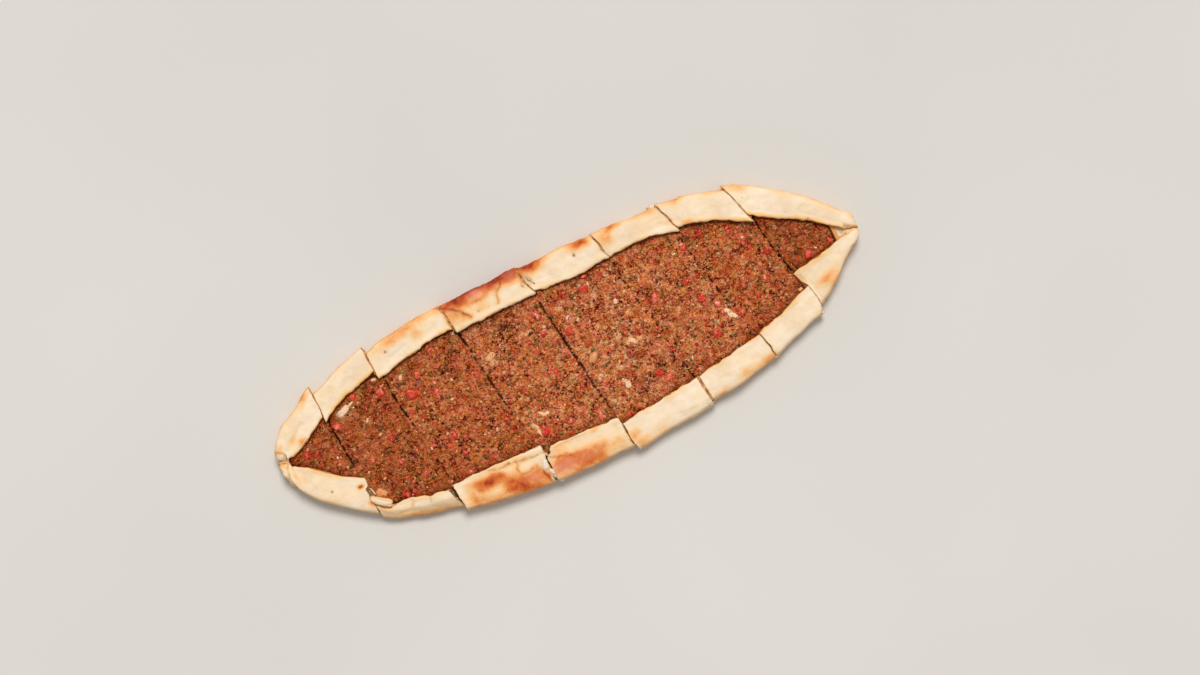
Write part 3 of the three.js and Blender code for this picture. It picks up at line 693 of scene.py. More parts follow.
def dough_finish():
    """Pale dough, golden where fat soaked it, toasted in patches and crumbly where it is cut or torn."""
    finish = Finish("baked_dough", specular=0.2)
    toast, oil, blush = finish.painted("toast"), finish.painted("oil"), finish.painted("blush")
    crumb, torn, streak = finish.painted("crumb"), finish.painted("torn"), finish.painted("streak")
    dark, under = finish.painted("dark"), finish.painted("under")
    broad, middle, fine = finish.grain(0.026), finish.grain(0.006, 3), finish.grain(0.0013, 3, 0.65)
    cream = finish.ramp(
        broad * 0.55 + middle * 0.45,
        (0.34, (238, 211, 178)),
        (0.5, (246, 223, 193)),
        (0.64, (251, 233, 209)),
    )
    golden = finish.layered(
        cream,
        (finish.grain(0.017), 0.5, 0.68, 0, 0.45, (243, 216, 173)),
        (fine, 0.6, 0.76, 0, 0.25, (226, 195, 156)),
        (streak + (fine - 0.5) * 0.3, 0.56, 0.8, 0, 0.6, (253, 238, 214)),
        (streak + (middle - 0.5) * 0.3, 0.44, 0.2, 0, 0.5, (238, 205, 158)),
        (oil + (middle - 0.5) * 0.5, 0.06, 0.62, 0, 0.95, (242, 190, 114)),
        (oil + (fine - 0.5) * 0.4, 0.6, 1, 0, 0.8, (212, 140, 68)),
    )
    spread = finish.band(toast, 0.02, 0.3)
    browned = toast + ((middle - 0.5) * 0.34 + (fine - 0.5) * 0.3 + (streak - 0.5) * 0.16) * spread
    baked = finish.ramp(
        browned,
        (0.0, (242, 217, 182)), (0.16, (246, 206, 156)), (0.34, (243, 180, 116)), (0.52, (226, 138, 70)),
        (0.7, (208, 104, 44)), (0.86, (182, 72, 26)), (1.0, (138, 46, 16)),
    )
    top = finish.blend(finish.band(browned, 0.02, 0.2), golden, baked)
    top = finish.blend(blush * finish.band(middle, 0.3, 0.62, 0.55, 1), top, (226, 134, 114))
    # Painted shade in the cracks, creases, pits and the flap's lap, partly the cracks' own brown.
    top = finish.blend(dark, top, (96, 52, 26))
    scorched = finish.ramp(
        broad * 0.4 + middle * 0.6, (0.34, (230, 200, 156)), (0.5, (212, 166, 112)), (0.66, (164, 106, 62)),
    )
    top = finish.blend(under, top, scorched)
    cut_face = finish.ramp(
        middle * 0.5 + fine * 0.5,
        (0.34, (158, 104, 60)),
        (0.5, (206, 160, 110)),
        (0.66, (232, 200, 156)),
    )
    torn_crumb = finish.ramp(fine, (0.3, (214, 186, 148)), (0.55, (236, 220, 192)), (0.8, (244, 234, 214)))
    finish.feed("Base Color", finish.blend(crumb, top, finish.blend(torn, cut_face, torn_crumb)))
    finish.feed("Roughness", finish.band(oil, 0.2, 0.9, 0.72, 0.42))
    pores = finish.node(
        "ShaderNodeTexVoronoi",
        {"feature": "SMOOTH_F1"},
        {
            "Vector": finish.node("ShaderNodeTexCoord", output="Object"), "Scale": PORES_PER_METRE,
            "Smoothness": 0.4,
        },
        "Distance",
    )
    skin = middle * 0.4 + fine * 0.45
    relief = skin * (1 - crumb) + finish.band(pores, 0.1, 0.6) * crumb
    finish.feed("Normal", finish.bump(relief, 0.0005))
    return finish.material


def crust_slice(number, material):
    """One slice of the crust: both folded rims and the base between them."""
    s = stations(number, STATION_SPACING)
    near, far = half_section(number, "near", s), half_section(number, "far", s)
    y, z, inward = (np.concatenate([a, b[:, -2::-1]], 1) for a, b in zip(near, far))
    x = place_x(number, s[:, None], y)
    count = near[0].shape[1]
    rim_points = round(RIM_KNOTS[-1] / RIM_POINT_SPACING)
    half_rim = np.zeros(count)
    half_rim[UNDER_POINTS : UNDER_POINTS + rim_points] = 1
    half_rim[UNDER_POINTS + rim_points : UNDER_POINTS + rim_points + 2] = 0.5
    on_rim = np.concatenate([half_rim, half_rim[-2::-1]])
    is_far = np.arange(len(on_rim)) >= count
    points = np.stack([x, y, z], -1)
    left, right = slice_ends(number, y)
    length = right - left
    to_left = s[:, None] * length if number > 0 else np.full(y.shape, NO_CUT)
    to_right = (1 - s[:, None]) * length if number < LAST else np.full(y.shape, NO_CUT)
    to_cut = np.minimum(to_left, to_right)

    # Broad unevenness, wrinkles along the rim, the pressed lip, blisters, pits and cracks.
    normals = outward_normals(points)
    lengthwise = np.stack([x * 0.2, y, z], -1)
    height = 0.45 * unevenness(points, 17, 1) + 0.3 * unevenness(points, 7, 2)
    height += 0.09 * unevenness(points, 2.6, 3)
    height += 0.18 * unevenness(lengthwise, 3.4, 4) * smoothstep(unevenness(points, 21, 5), -0.4, 0.4)
    height += 0.08 * unevenness(lengthwise, 1.6, 29) + 0.05 * unevenness(points, 1.3, 30)
    lip_width = 4.6 + 1.2 * unevenness(np.stack([x, 0 * x, 40.0 * is_far + 0 * x], -1), 12, 6)
    pressed = smoothstep(unevenness(np.stack([x, 0 * x, 90.0 * is_far + 0 * x], -1), 16, 7), -0.7, 0.3)
    height -= 0.09 * pressed * np.exp(-(((inward - lip_width) / 1.5) ** 2))
    top = smoothstep(z, 4, 7) * on_rim
    for bx, by, radius, rise in BLISTERS:
        height += rise * spot(x, y, bx, by, radius, radius * 0.7, 30 * bx) * top
    # Pits and cracks are darkened: painted shade in them, partly their own brown.
    dark = np.zeros(x.shape)
    for px, py, radius, deep, shade in PITS:
        hole = np.exp(-(((x - px) ** 2 + (y - py) ** 2) / radius**2)) * top
        height -= deep * hole
        dark = np.maximum(dark, shade * hole)
    wander = np.stack([0.9 * unevenness(points, 3, 8), 0.9 * unevenness(points, 3, 9)])
    patchy = 0.35 + 0.65 * smoothstep(unevenness(points, 2.4, 20), -0.5, 0.4)
    singed = np.zeros(x.shape)
    for line, broad, deep, shade in CRACKS:
        away = distance_to_line(x + wander[0], y + wander[1], line)
        groove = np.exp(-((away / broad) ** 2)) * smoothstep(z, 1, 4.5) * on_rim
        height -= deep * groove
        dark = np.maximum(dark, shade * groove * patchy)
        singed = np.maximum(singed, 0.3 * shade * np.exp(-((away / 2) ** 2)) * top)
    torn = np.zeros(x.shape)
    for place in TORN:
        bare = spot(x + 2 * wander[0], y + 2 * wander[1], *place) * on_rim * smoothstep(z, 1.5, 5)
        torn = np.maximum(torn, bare)
    height += torn * (0.55 * unevenness(points, 2.0, 10) + 0.3 * unevenness(points, 1.1, 11))
    points = points + normals * (height * on_rim)[..., None]

    # Knots, the lip's ragged line and the ragged, rounded cut ends.
    for _, middle, half, turn in (knot for knot in KNOTS if knot[0] == number):
        points = push_out(points, np.array(middle), np.array(half), turn)
    along_rim = np.stack([x, 60.0 * is_far + 0 * x, 0 * x], -1)
    ragged = unevenness(along_rim, 5, 12) + 0.6 * unevenness(points, 2.2, 13)
    lip = np.exp(-np.maximum(inward, 0) / 2.2) * smoothstep(z, 8, 9) * on_rim
    points[..., 1] += 0.62 * ragged * lip
    widths = (np.abs(np.subtract(*rim_edges(number, side, s)[:2]))[:, None] for side in OUTWARD)
    rim_width = np.where(is_far, *widths)
    brim = np.exp(-np.maximum(rim_width - inward, 0) / 1.5) * smoothstep(z, 0.5, 3) * on_rim
    bitten = 0.34 * unevenness(points, 4.4, 27) + 0.26 * unevenness(points, 1.9, 28)
    points[..., 1] += np.where(is_far, 1, -1) * bitten * (1 + smoothstep(np.abs(x), 200, 215)) * brim
    tip = smoothstep(np.abs(x), 211, 221) * smoothstep(z, 0.5, 3) * on_rim
    points[..., 0] -= np.sign(x) * 0.9 * (1 + unevenness(points, 3.6, 55)) * tip
    for _, side, end, reach, depth in (corner for corner in CUT_BACK if corner[0] == number):
        to_end = to_right if end else to_left
        pulled = smoothstep(-to_end, -reach, 0) * smoothstep(-inward, -9, 0) * smoothstep(z, 8, 9) * on_rim
        points[..., 1] += OUTWARD[side] * depth * pulled * (is_far == (side == "far"))
    rounding = np.maximum(CUT_ROUNDING - to_cut, 0)
    shrink = CUT_ROUNDING - np.sqrt(np.maximum(CUT_ROUNDING**2 - rounding**2, 0))
    shrink = shrink * (0.25 + 0.75 * on_rim) * smoothstep(z, 0.2, 3)
    points -= outward_normals(points) * (shrink * 0.7)[..., None]
    nearer_left = to_left < to_right
    cut = np.where(nearer_left, number, number + 1)
    shift, width = np.zeros(x.shape), np.full(x.shape, CUT_WIDTH)
    for side, n in itertools.product(OUTWARD, (number, number + 1)):
        if 0 < n <= LAST:
            mine = (cut == n) & (is_far == (side == "far"))
            across, shifts, widths = np.array(RIM_CUTS[side][n], float).T
            kept = WIDTH_KEPT[side][n]
            shift[mine] = np.interp(y[mine], across, shifts)
            narrowed = kept + (1 - kept) * smoothstep(z[mine], 8.4, 12.2)
            width[mine] = np.interp(y[mine], across, widths) * narrowed
    on_cut_face = np.stack([y, z, 0 * x + 9 * number], -1)
    edge_noise = unevenness(on_cut_face, 2.6, 14) + 0.6 * unevenness(on_cut_face, 1.2, 15)
    recede = (width - CUT_WIDTH) / 2 + (0.06 + 0.16 * width) * edge_noise
    recede = np.maximum(recede, -0.52) * smoothstep(-to_cut, -3.2, 0)
    shift = (shift + 0.25 * cut_stray(cut, y, z)) * smoothstep(-to_cut, -9, 0)
    points[..., 0] += (recede * np.where(nearer_left, 1, -1) + shift) * on_rim * smoothstep(z, 1, 5)
    points[..., 2] -= 0.5 * np.maximum(points[..., 2] - TALLEST, 0)
    uneven_bottom = 0.12 * (1 + unevenness(points, 9, 16)) * smoothstep(-z, -0.2, 0)
    points[..., 2] = np.maximum(points[..., 2], 0) + uneven_bottom

    # The toast, the colour, the fat and the bare crumb, as numbers that the material reads.
    toast = np.ones(x.shape)
    warp = np.stack([1.5 * unevenness(points, 6, 17), 1.2 * unevenness(points, 6, 18)])
    warped_x, warped_y = x + warp[0], y + warp[1]
    for middle_x, middle_y, half_length, half_width, turn, strength in TOAST:
        reach, breadth = half_length * TOAST_SPREAD, half_width * TOAST_SPREAD
        toast *= 1 - strength * spot(warped_x, warped_y, middle_x, middle_y, reach, breadth, turn)
    toast = 1 - (1 - toast) * (1 + 0.16 * unevenness(points, 3, 25) + 0.1 * unevenness(points, 1.4, 26))
    warm = np.where(is_far, WARM["far"][number], WARM["near"][number]) * (1 + unevenness(points, 13, 21))
    browned_edge = 0.3 * np.exp(-((to_cut / 0.6) ** 2)) * smoothstep(unevenness(points, 4, 22), -0.4, 0.4)
    sides = np.where(is_far, GOLDEN_SIDE["far"], GOLDEN_SIDE["near"])
    sides = sides * (1 + 0.5 * unevenness(lengthwise, 4, 56))
    sides *= np.exp(-np.maximum(rim_width - inward, 0) / GOLDEN_REACH)
    toast = (1 - toast * (1 - warm) * (1 - browned_edge) * (1 - singed) * (1 - np.clip(sides, 0, 1))) * on_rim
    blush = np.zeros(x.shape)
    for *place, strength in BLUSH:
        blush = np.maximum(blush, strength * spot(warped_x, warped_y, *place))
    edge_gold = np.where(is_far, GOLDEN_EDGE["far"][number], GOLDEN_EDGE["near"][number])
    streaks = 0.7 + 0.5 * unevenness(along_rim, 9, 19)
    oil = edge_gold * streaks * (np.exp(-np.maximum(inward, 0) / 1.7) + 0.2 * smoothstep(-inward, -5.5, -4))
    frayed = to_cut + 0.22 * unevenness(points, 1.4, 54)
    crumb = np.maximum(smoothstep(-frayed, -0.4, -0.1), torn * 0.9) * smoothstep(z, 0.6, 2.4)
    crumb = np.maximum(crumb, 0.6 * (1 - on_rim) * (z > 3))
    if number == LAST:
        shelf = smoothstep(x, 204, 206) * (1 - on_rim) * (z > 3)
        golden_rim = np.exp(-np.abs(inward) / 0.8) + smoothstep(-x, -210.5, -208)
        oil = oil + 1.3 * shelf * golden_rim
        crumb = crumb * (1 - shelf) + 0.9 * shelf * (1 - np.clip(golden_rim, 0, 1))
        torn = np.maximum(torn, shelf)
    values = {
        "streak": 0.5 + 0.5 * unevenness(lengthwise, 2.4, 51) * (0.5 + 0.5 * unevenness(points, 10, 52)),
        "toast": toast,
        "blush": blush * on_rim,
        "oil": np.clip(oil, 0, 1) * (z > 6),
        "crumb": np.clip(crumb, 0, 1),
        "torn": np.clip(torn * 1.4, 0, 1),
        "dark": dark,
        "under": smoothstep(-z, -1.6, -0.1),
    }

    # The near half of the slice takes the left half of the baking map, the far half the right one.
    weights = np.where(half_rim > 0, 1.0, 0.35)
    places = np.cumsum(weights) / weights.sum()
    v = 0.01 + 0.87 * np.concatenate([places, places[-2::-1]])
    u = 0.47 * (s - s[0]) / (s[-1] - s[0])
    uv = np.stack([u[:, None] + np.where(is_far, 0.515, 0.015), v + 0 * x], -1)
    piece = laid_piece(f"baked_crust_{number + 1}", points, values, uv)
    lay_cap_maps(piece)
    piece.data.materials.append(material)
    bpy.ops.object.shade_smooth_by_angle(angle=math.radians(50))
    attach(piece, "root")
    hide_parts(f"crust_{number + 1}")


baked_dough = dough_finish()
for number in SLICE_NUMBERS:
    crust_slice(number, baked_dough)

# Minced meat
# Finely minced meat with tomato and vegetables, spread over the dough and baked to a moist, crumbly layer
# that was cut with the bread. Each slice's layer is a sheet laid over the base, lumpy on top and flat
# underneath.

MEAT_FLOOR = 4.85
MEAT_HEIGHT = 9.2
MEAT_EDGE_HEIGHT = 8.3
MEAT_HIDDEN_HEIGHT = 7.3
MEAT_SPACING = 0.43
BITS_PER_METRE, CLUMPS_PER_METRE = 520.0, 310.0
MEAT_LIGHTNESS = [0, 0, 0.4, 0.78, 0.86, 0.76, 0.5, -0.1]

# The cuts' course through the meat: places across, how far the cut lies off its straight line there and
# how wide it gapes. Where that is 0 or less, the meat has closed over it.
MEAT_CUTS = {
    1: [
        (-33, 0.6, 0.1), (-28, 0.5, 0.5), (-23, 0.4, 0.6), (-18, 0.6, 1), (-12, 0.6, 1.1), (-8, 0, 0.5),
        (-4, -0.2, 0.9), (0, -0.3, 1.4), (5, -0.4, 1.2), (8, 0.2, 1.2), (12, 0.6, 1.6),
    ],
    2: [
        (-58, 1.4, 0.6), (-50, 1.4, 0.3), (-44, 1.2, 0.1), (-38, 0.5, -0.4), (-23, 0.5, -0.4),
        (-19, 0.8, 0.5), (-15, 1, 0.7), (-11, 0.5, 0), (-8, 0, 0.9), (-3, 0, 1.2), (2, 0.4, 0.5),
        (5, -0.3, 0.8), (8, -0.3, 1.2), (15, 0.8, 0.6), (20, 1.4, 0.9), (27, 1.5, 0.6),
    ],
    3: [
        (-66, 0.6, 0.6), (-58, 0, 0.1), (-48, -0.6, 0), (-43, -0.8, 0.9), (-40, -1.2, 0.4),
        (-35, -1.8, 0.6), (-30, -2, 0.6), (-24, -1.9, 0.4), (-20, -2, 0.9), (-17, -1.7, 0.2),
        (-12, -1.4, 1), (-5, -1.4, 1.1), (0, -1, 0.6), (5, -1.2, 0.7), (12, -1.2, 0.4), (17, 0.4, 0.4),
        (22, 0.3, 0.5), (27, -0.6, 0.9), (30, -0.2, 1.4), (38, -0.2, 1.2),
    ],
    4: [
        (-62, -1, 0), (-57, -1.6, 0.5), (-53, -1.5, 0.8), (-48, -1, 1), (-41, -1.2, 0.9),
        (-36, -1.5, 1.1), (-31, -0.8, 1.1), (-26, -0.7, 1), (-20, -0.8, 1.4), (8, -0.8, 1.5),
        (12, -0.6, 1), (20, -0.5, 0.9), (30, -0.5, 0.9), (36, -0.3, 0.6), (40, 0, 0.3),
    ],
    5: [
        (-56, -0.5, 0.2), (-40, -1, -0.1), (-34, -1, 0.4), (-30, -1, 0.1), (-26, -1, 0.7),
        (-22, -0.6, 0.2), (-15, -0.5, 0.1), (-8, -0.2, 0.3), (-4, 0.2, 0.4), (1, 0.6, 0.8), (4, 0, 0),
        (8, -1, 0.9), (13, -1, 0.1), (18, -1, 0.6), (25, -1, 0.5), (31, -0.2, 0.9), (34, 0.6, 0.6),
        (40, 0.4, 0.5), (44, 0.5, 0.3),
    ],
    6: [
        (-46, 0, 0.5), (-40, -0.4, 0.2), (-34, -0.5, 0.5), (-30, -1, 0), (-20, -2, 0), (-15, -2.4, 0.1),
        (-12, -2.6, 0.9), (-4, -2.6, 0.9), (0, -2.7, 0.4), (5, -3, 0.5), (10, -2.6, 0), (18, -2.4, 0),
        (24, -2.4, 0.6), (28, -2, 0.3), (34, -1.2, 0.1), (38, -1.2, 0.6), (45, -1, 0.5),
    ],
    7: [
        (-26, 1, 0.2), (-20, 1, 0.4), (-13, 1.2, 0.5), (-9, 1, 0.9), (-4, 1.2, 0.4), (1, 1.3, 0.9),
        (7, 1.4, 0.7), (12, 1.4, 0.5), (17, 1.4, 0.9), (22, 1, 0.4), (26, 2, 0.8), (30, 3, 0.9),
        (35, 3.4, 0.8),
    ],
}

# Where bits of red pepper and tomato lie and stain the meat round them: middle x and y and length.
# Slivers of onion have their width, turn in degrees and paleness too.
PEPPER_PLACES = [
    (-202, -7, 5), (-196, -9, 3.4), (-175, 4, 5), (-137, 16, 6), (-116, 6, 8), (-101, -32, 6),
    (-142, -18, 4), (-141, -35, 4), (-146, -59, 5), (-140, -59, 4), (-108, 17, 4), (-68, 2, 5),
    (-59, -36, 4), (-37, -54, 7), (-13, 12, 4), (5, 6, 6), (8, 15, 4), (-13, 25, 5), (-14, -17, 4),
    (-3, -5, 3), (-25, 9, 4), (4, -59, 4), (26, 31, 6), (11, 32, 4), (54, -45, 6), (59, -51, 6),
    (70, 6, 6), (103, 32, 5), (102, -7, 5), (111, -15, 4.6), (113, -22, 4.6), (125, -27, 5.4),
    (133, -7, 4), (144, 19, 4), (147, 14, 4), (137, 33, 4), (158, 7, 5), (103, -34, 5.4), (185, -5, 6.6),
    (203, -2, 4), (140, -19, 3), (117, 37, 4.4), (-80, -57, 4), (-93, 31, 3.4), (-18, -54, 3.6),
    (96, 8, 4), (66, 19, 4), (-157, 20, 4.6), (-100, 1, 4), (-128, -50, 3.4), (86, 24, 3), (29, 39, 3),
    (40, 35, 3.4), (60, -26, 3.4), (-160, -28, 4.4), (-121, -6, 3), (-96, -47, 3.6), (150, -10, 3),
]
ONION_PLACES = [
    (-167, 12.2, 8.8, 4.8, 25, 0.85), (-160.6, 15.4, 5.4, 1.6, 32, 0.6),
    (-152.9, 0.6, 4.4, 1.3, 55, 0.65), (-162.6, -51.4, 7.4, 4.6, -35, 0.3), (-54, 10, 6.6, 4.4, 40, 0.45),
    (-54.6, 5.6, 4.4, 3, 80, 0.3), (-35.2, -41, 4, 2, -45, 0.75), (-32.6, -42.4, 5, 2, 8, 0.75),
    (-42.8, -48.4, 6, 3.2, -50, 0.5), (-41.2, -53.6, 5, 2.4, -65, 0.6), (13.6, -18, 8, 4.6, 55, 0.3),
    (30.2, -44.6, 4.6, 3.6, 80, 0.75), (28.8, -40.8, 4, 2.4, -30, 0.6), (45, -17, 6.6, 3, -38, 0.6),
    (50.6, -17.6, 5, 3.2, -20, 0.3), (116.2, -23, 6.4, 3.6, -65, 0.75), (119, -26.6, 5, 2.8, -40, 0.9),
    (43.7, 14.1, 3.4, 2.6, 60, 1), (-138.6, 25.7, 3, 2.2, 0, 0.7), (-91, -8, 2.4, 1.4, 20, 0.6),
    (-69, -40, 2.6, 1.4, 70, 0.6), (-62, -12, 2.4, 1.6, 0, 0.5), (-72, 36, 3.4, 2, 40, 0.5),
    (80, -44, 3, 1.6, 100, 0.6), (-120, 20, 3, 2, 60, 0.7), (-118, 22, 2.4, 1.4, 10, 0.6),
    (14, 12, 3, 1.6, 40, 0.6), (30, 33, 2.4, 1.6, 90, 0.7), (170, -27, 3, 2, 30, 0.5),
    (-177.5, -25.8, 2.4, 1.6, 0, 0.5), (-183, -22, 2, 1.2, 50, 0.3), (95, 30, 2.4, 1.4, 0, 0.6),
]


def grains(x, y, size, seed):
    """Irregular cells about size across: distances to the nearest and next cell's middle in shares of
    size, and a random number for the nearest cell."""
    shift_x, shift_y, number = np.random.default_rng(seed).random((3, 256, 256))
    u, v = x / size + 512, y / size + 512
    cell_u, cell_v = np.floor(u).astype(int), np.floor(v).astype(int)
    nearest, following, found = np.full(x.shape, 9.0), np.full(x.shape, 9.0), np.zeros(x.shape)
    for du, dv in itertools.product((-1, 0, 1), repeat=2):
        i, j = (cell_u + du) & 255, (cell_v + dv) & 255
        away = np.hypot(cell_u + du + shift_x[i, j] - u, cell_v + dv + shift_y[i, j] - v)
        following = np.where(away < nearest, nearest, np.minimum(following, away))
        found = np.where(away < nearest, number[i, j], found)
        nearest = np.minimum(nearest, away)
    return nearest, following, found


def meat_cut(cut, y):
    """How far a cut through the meat lies off its straight line at y, and how wide it gapes there."""
    shift, width = np.zeros(y.shape), np.full(y.shape, CUT_WIDTH)
    place = np.stack([y, 0 * y, 40.0 * cut], -1)
    ragged = (0.6 * unevenness(place, 3, 38) + 0.7 * unevenness(place, 1.3, 39)) * np.where(cut == 4, 0.6, 1)
    stray = 0.4 * unevenness(place, 5, 23) + 0.4 * unevenness(place, 1.6, 24)
    for n, course in MEAT_CUTS.items():
        mine = cut == n
        across, shifts, widths = np.array(course).T
        shift[mine] = np.interp(y[mine], across, shifts) + stray[mine]
        width[mine] = np.interp(y[mine], across, widths) + ragged[mine]
    return shift, np.maximum(width, 0)


def meat_relief(x, y):
    """Height of the meat above its mean level, and how light each of its grains is."""
    flat = np.stack([x, y, 0 * x], -1)
    bent_x = x + 0.5 * unevenness(flat, 1.7, 31)
    bent_y = y + 0.5 * unevenness(flat, 1.7, 32)
    lumps, next_lump, lump = grains(bent_x, bent_y, 3.2, 33)
    bits, next_bit, bit = grains(bent_x, bent_y, 1.7, 34)
    crumbly = smoothstep(unevenness(flat, 8, 35), -0.5, 0.5)
    height = 0.3 * unevenness(flat, 17, 36) + 0.3 * unevenness(flat, 6, 37) + 0.2 * unevenness(flat, 1.1, 45)
    height += (0.85 * lump - 0.4) * smoothstep(next_lump - lumps, 0, 0.3)
    height += (0.6 * bit - 0.28) * smoothstep(next_bit - bits, 0, 0.4)
    height -= (0.15 + 0.3 * crumbly) * np.exp(-(((next_lump - lumps) / 0.1) ** 2))
    height -= (0.08 + 0.2 * crumbly) * np.exp(-(((next_bit - bits) / 0.14) ** 2))

    # Winding splits between broader clods.
    clods, next_clod, _ = grains(x + 1.6 * unevenness(flat, 4, 40), y + 1.6 * unevenness(flat, 4, 41), 11, 42)
    height -= (
        0.7 * np.exp(-(((next_clod - clods) / 0.035) ** 2))
        * smoothstep(unevenness(flat, 7, 43), -0.1, 0.4)
    )
    return height, 0.45 * bit + 0.35 * lump + 0.2 * (0.5 + 0.5 * unevenness(flat, 0.9, 44))


def meat_level(number, s, y):
    """The level that the meat's relief stands on: lower towards the rims and under them."""
    near, far, tuck = meat_edges(number, s)
    inside = np.minimum(y - near, far - y)
    strip = np.minimum(2.2, (far - near) / 5)
    level = MEAT_EDGE_HEIGHT + (MEAT_HEIGHT - MEAT_EDGE_HEIGHT) * smoothstep(inside, 0.2, strip)
    level += (MEAT_HIDDEN_HEIGHT - MEAT_EDGE_HEIGHT) * smoothstep(-inside, 0, tuck)
    return level, inside


def rim_juice_and_shade(inside):
    """How far the juices and painted shade darken the meat, most along the rims."""
    inside = np.maximum(inside, 0)
    return 0.55 * np.exp(-inside / 2) + 0.4 * np.exp(-inside / 7)


def stain(x, y, places):
    """1 in the middle of each of the places, falling off unevenly round it."""
    flat = np.stack([x, y, 0 * x], -1)
    x, y = x + 1.1 * unevenness(flat, 2, 46), y + 1.1 * unevenness(flat, 2, 47)
    found = np.zeros(x.shape)
    for k, (middle_x, middle_y, length) in enumerate(places):
        near = np.hypot(x - middle_x, y - middle_y) < 2.5 * length
        shade = spot(x[near], y[near], middle_x, middle_y, 0.6 * length, 0.46 * length, 77 * k)
        found[near] = np.maximum(found[near], shade)
    return found


def meat_finish():
    """Crumbly meat of many small bits, with juices and stains. Painted shade darkens its crevices, pits and
    hollows and the strip along the rims, and a few pale bits are partly fat and partly painted highlights.
    """
    finish = Finish("minced_meat", specular=0.06)
    tint, deep, wet = finish.painted("tint"), finish.painted("deep"), finish.painted("wet")
    light, red, pale = finish.painted("light"), finish.painted("red"), finish.painted("pale")
    patches, middle, fine = finish.grain(0.012), finish.grain(0.0026, 3, 0.6), finish.grain(0.0009, 3, 0.7)

    # Small angular bits, each with its own shade and kind.
    place = finish.node("ShaderNodeTexCoord", output="Object")
    shaking = finish.node(
        "ShaderNodeTexNoise", sockets={"Vector": place, "Scale": 620.0, "Detail": 2.0}, output="Color",
    )
    shaken = finish.node(
        "ShaderNodeVectorMath",
        {"operation": "MULTIPLY_ADD"},
        {0: shaking, 1: (0.0026,) * 3, 2: place},
    )
    bits = finish.node(
        "ShaderNodeTexVoronoi", sockets={"Vector": shaken, "Scale": BITS_PER_METRE}, output="Color",
    )
    shade, kind, other = finish.channels(bits)
    joint = finish.node(
        "ShaderNodeTexVoronoi", {"feature": "DISTANCE_TO_EDGE"},
        {"Vector": shaken, "Scale": BITS_PER_METRE}, "Distance",
    )
    specks = finish.grain(0.002, 3, 0.62)
    clumps = finish.node(
        "ShaderNodeTexVoronoi", {"feature": "SMOOTH_F1"},
        {"Vector": shaken, "Scale": CLUMPS_PER_METRE, "Smoothness": 0.25}, "Color",
    )
    ruddy, tawny, bright = finish.channels(clumps)
    crumbly = finish.band(finish.grain(0.0065, 2), 0.46, 0.6)
    mixed = tint * 0.3 + shade * 0.2 + bright * 0.34 + light * 0.34 - 0.02
    mixed = mixed + (middle - 0.5) * 0.95 + (fine - 0.5) * 1.75 + (patches - 0.5) * 0.4
    flesh = finish.ramp(
        mixed, (0.0, (100, 18, 0)), (0.2, (154, 50, 2)), (0.36, (208, 86, 24)), (0.5, (238, 116, 50)),
        (0.64, (252, 146, 80)), (0.8, (255, 184, 124)), (1.0, (255, 224, 178)),
    )
    flesh = finish.layered(
        flesh,
        (finish.grain(0.0062, 3), 0.52, 0.64, 0, 0.55, (228, 82, 50)),
        (finish.grain(0.0071, 2), 0.54, 0.66, 0, 0.45, (236, 132, 50)),
        (finish.grain(0.0086, 3), 0.53, 0.65, 0, 0.5, (228, 132, 102)),
        (ruddy, 0.6, 0.78, 0, 0.6, (212, 70, 44)),
        (ruddy, 0.36, 0.2, 0, 0.42, (238, 138, 64)),
        (tawny, 0.62, 0.8, 0, 0.52, (200, 132, 68)),
        (tawny, 0.36, 0.2, 0, 0.55, (242, 142, 104)),
        (finish.grain(0.0034, 2), 0.59, 0.67, 0, 0.6, (122, 82, 28)),
        (kind, 0.05, 0.08, 0.5, 0, (216, 62, 44)),
        # A few bits painted pale: partly flecks of fat and partly painted highlights on the moist meat.
        (other, 0.96, 0.975, 0, 0.55, (255, 206, 156)),
        (light, 0.9, -0.1, 0, 0.3, (150, 92, 46)),
    )
    # Painted shade in the crevices between the bits.
    crevice_shade = finish.band(joint, 0.02, 0.15, 0.9, 0) * finish.band(middle, 0.6, 0.44) * crumbly
    flesh = finish.blend(crevice_shade, flesh, (92, 10, 0))
    # Dark specks, partly dark bits in the meat and partly painted shade in its small pits.
    pit_shade_and_specks = finish.band(specks, 0.55, 0.59, 0, 0.97) * finish.band(crumbly, 0, 1, 0.35, 1)
    flesh = finish.blend(pit_shade_and_specks, flesh, (80, 8, 0))
    flesh = finish.blend(red * finish.band(middle, 0.32, 0.5, 0.5, 1), flesh, (216, 66, 50))
    flesh = finish.blend(pale * finish.band(middle, 0.4, 0.56, 0.2, 0.8), flesh, (240, 184, 126))
    # Painted shade in the relief's hollows, the opened cuts and under the crumbs.
    flesh = finish.blend(deep * 0.92, flesh, (64, 9, 0))
    # Juices darken the meat along the rims, together with painted shade beside them.
    flesh = finish.blend(wet * 0.7, flesh, (126, 50, 6))
    finish.feed("Base Color", flesh)
    finish.feed("Roughness", finish.band(middle + wet * 0.4 - deep, 0.3, 0.9, 0.66, 0.32))
    relief = middle * 0.3 + fine * 0.4 + finish.band(joint, 0, 0.25) * 0.3 + shade * 0.2
    relief = relief - finish.band(specks, 0.6, 0.7) * 0.3
    finish.feed("Normal", finish.bump(relief, 0.0013))
    return finish.material


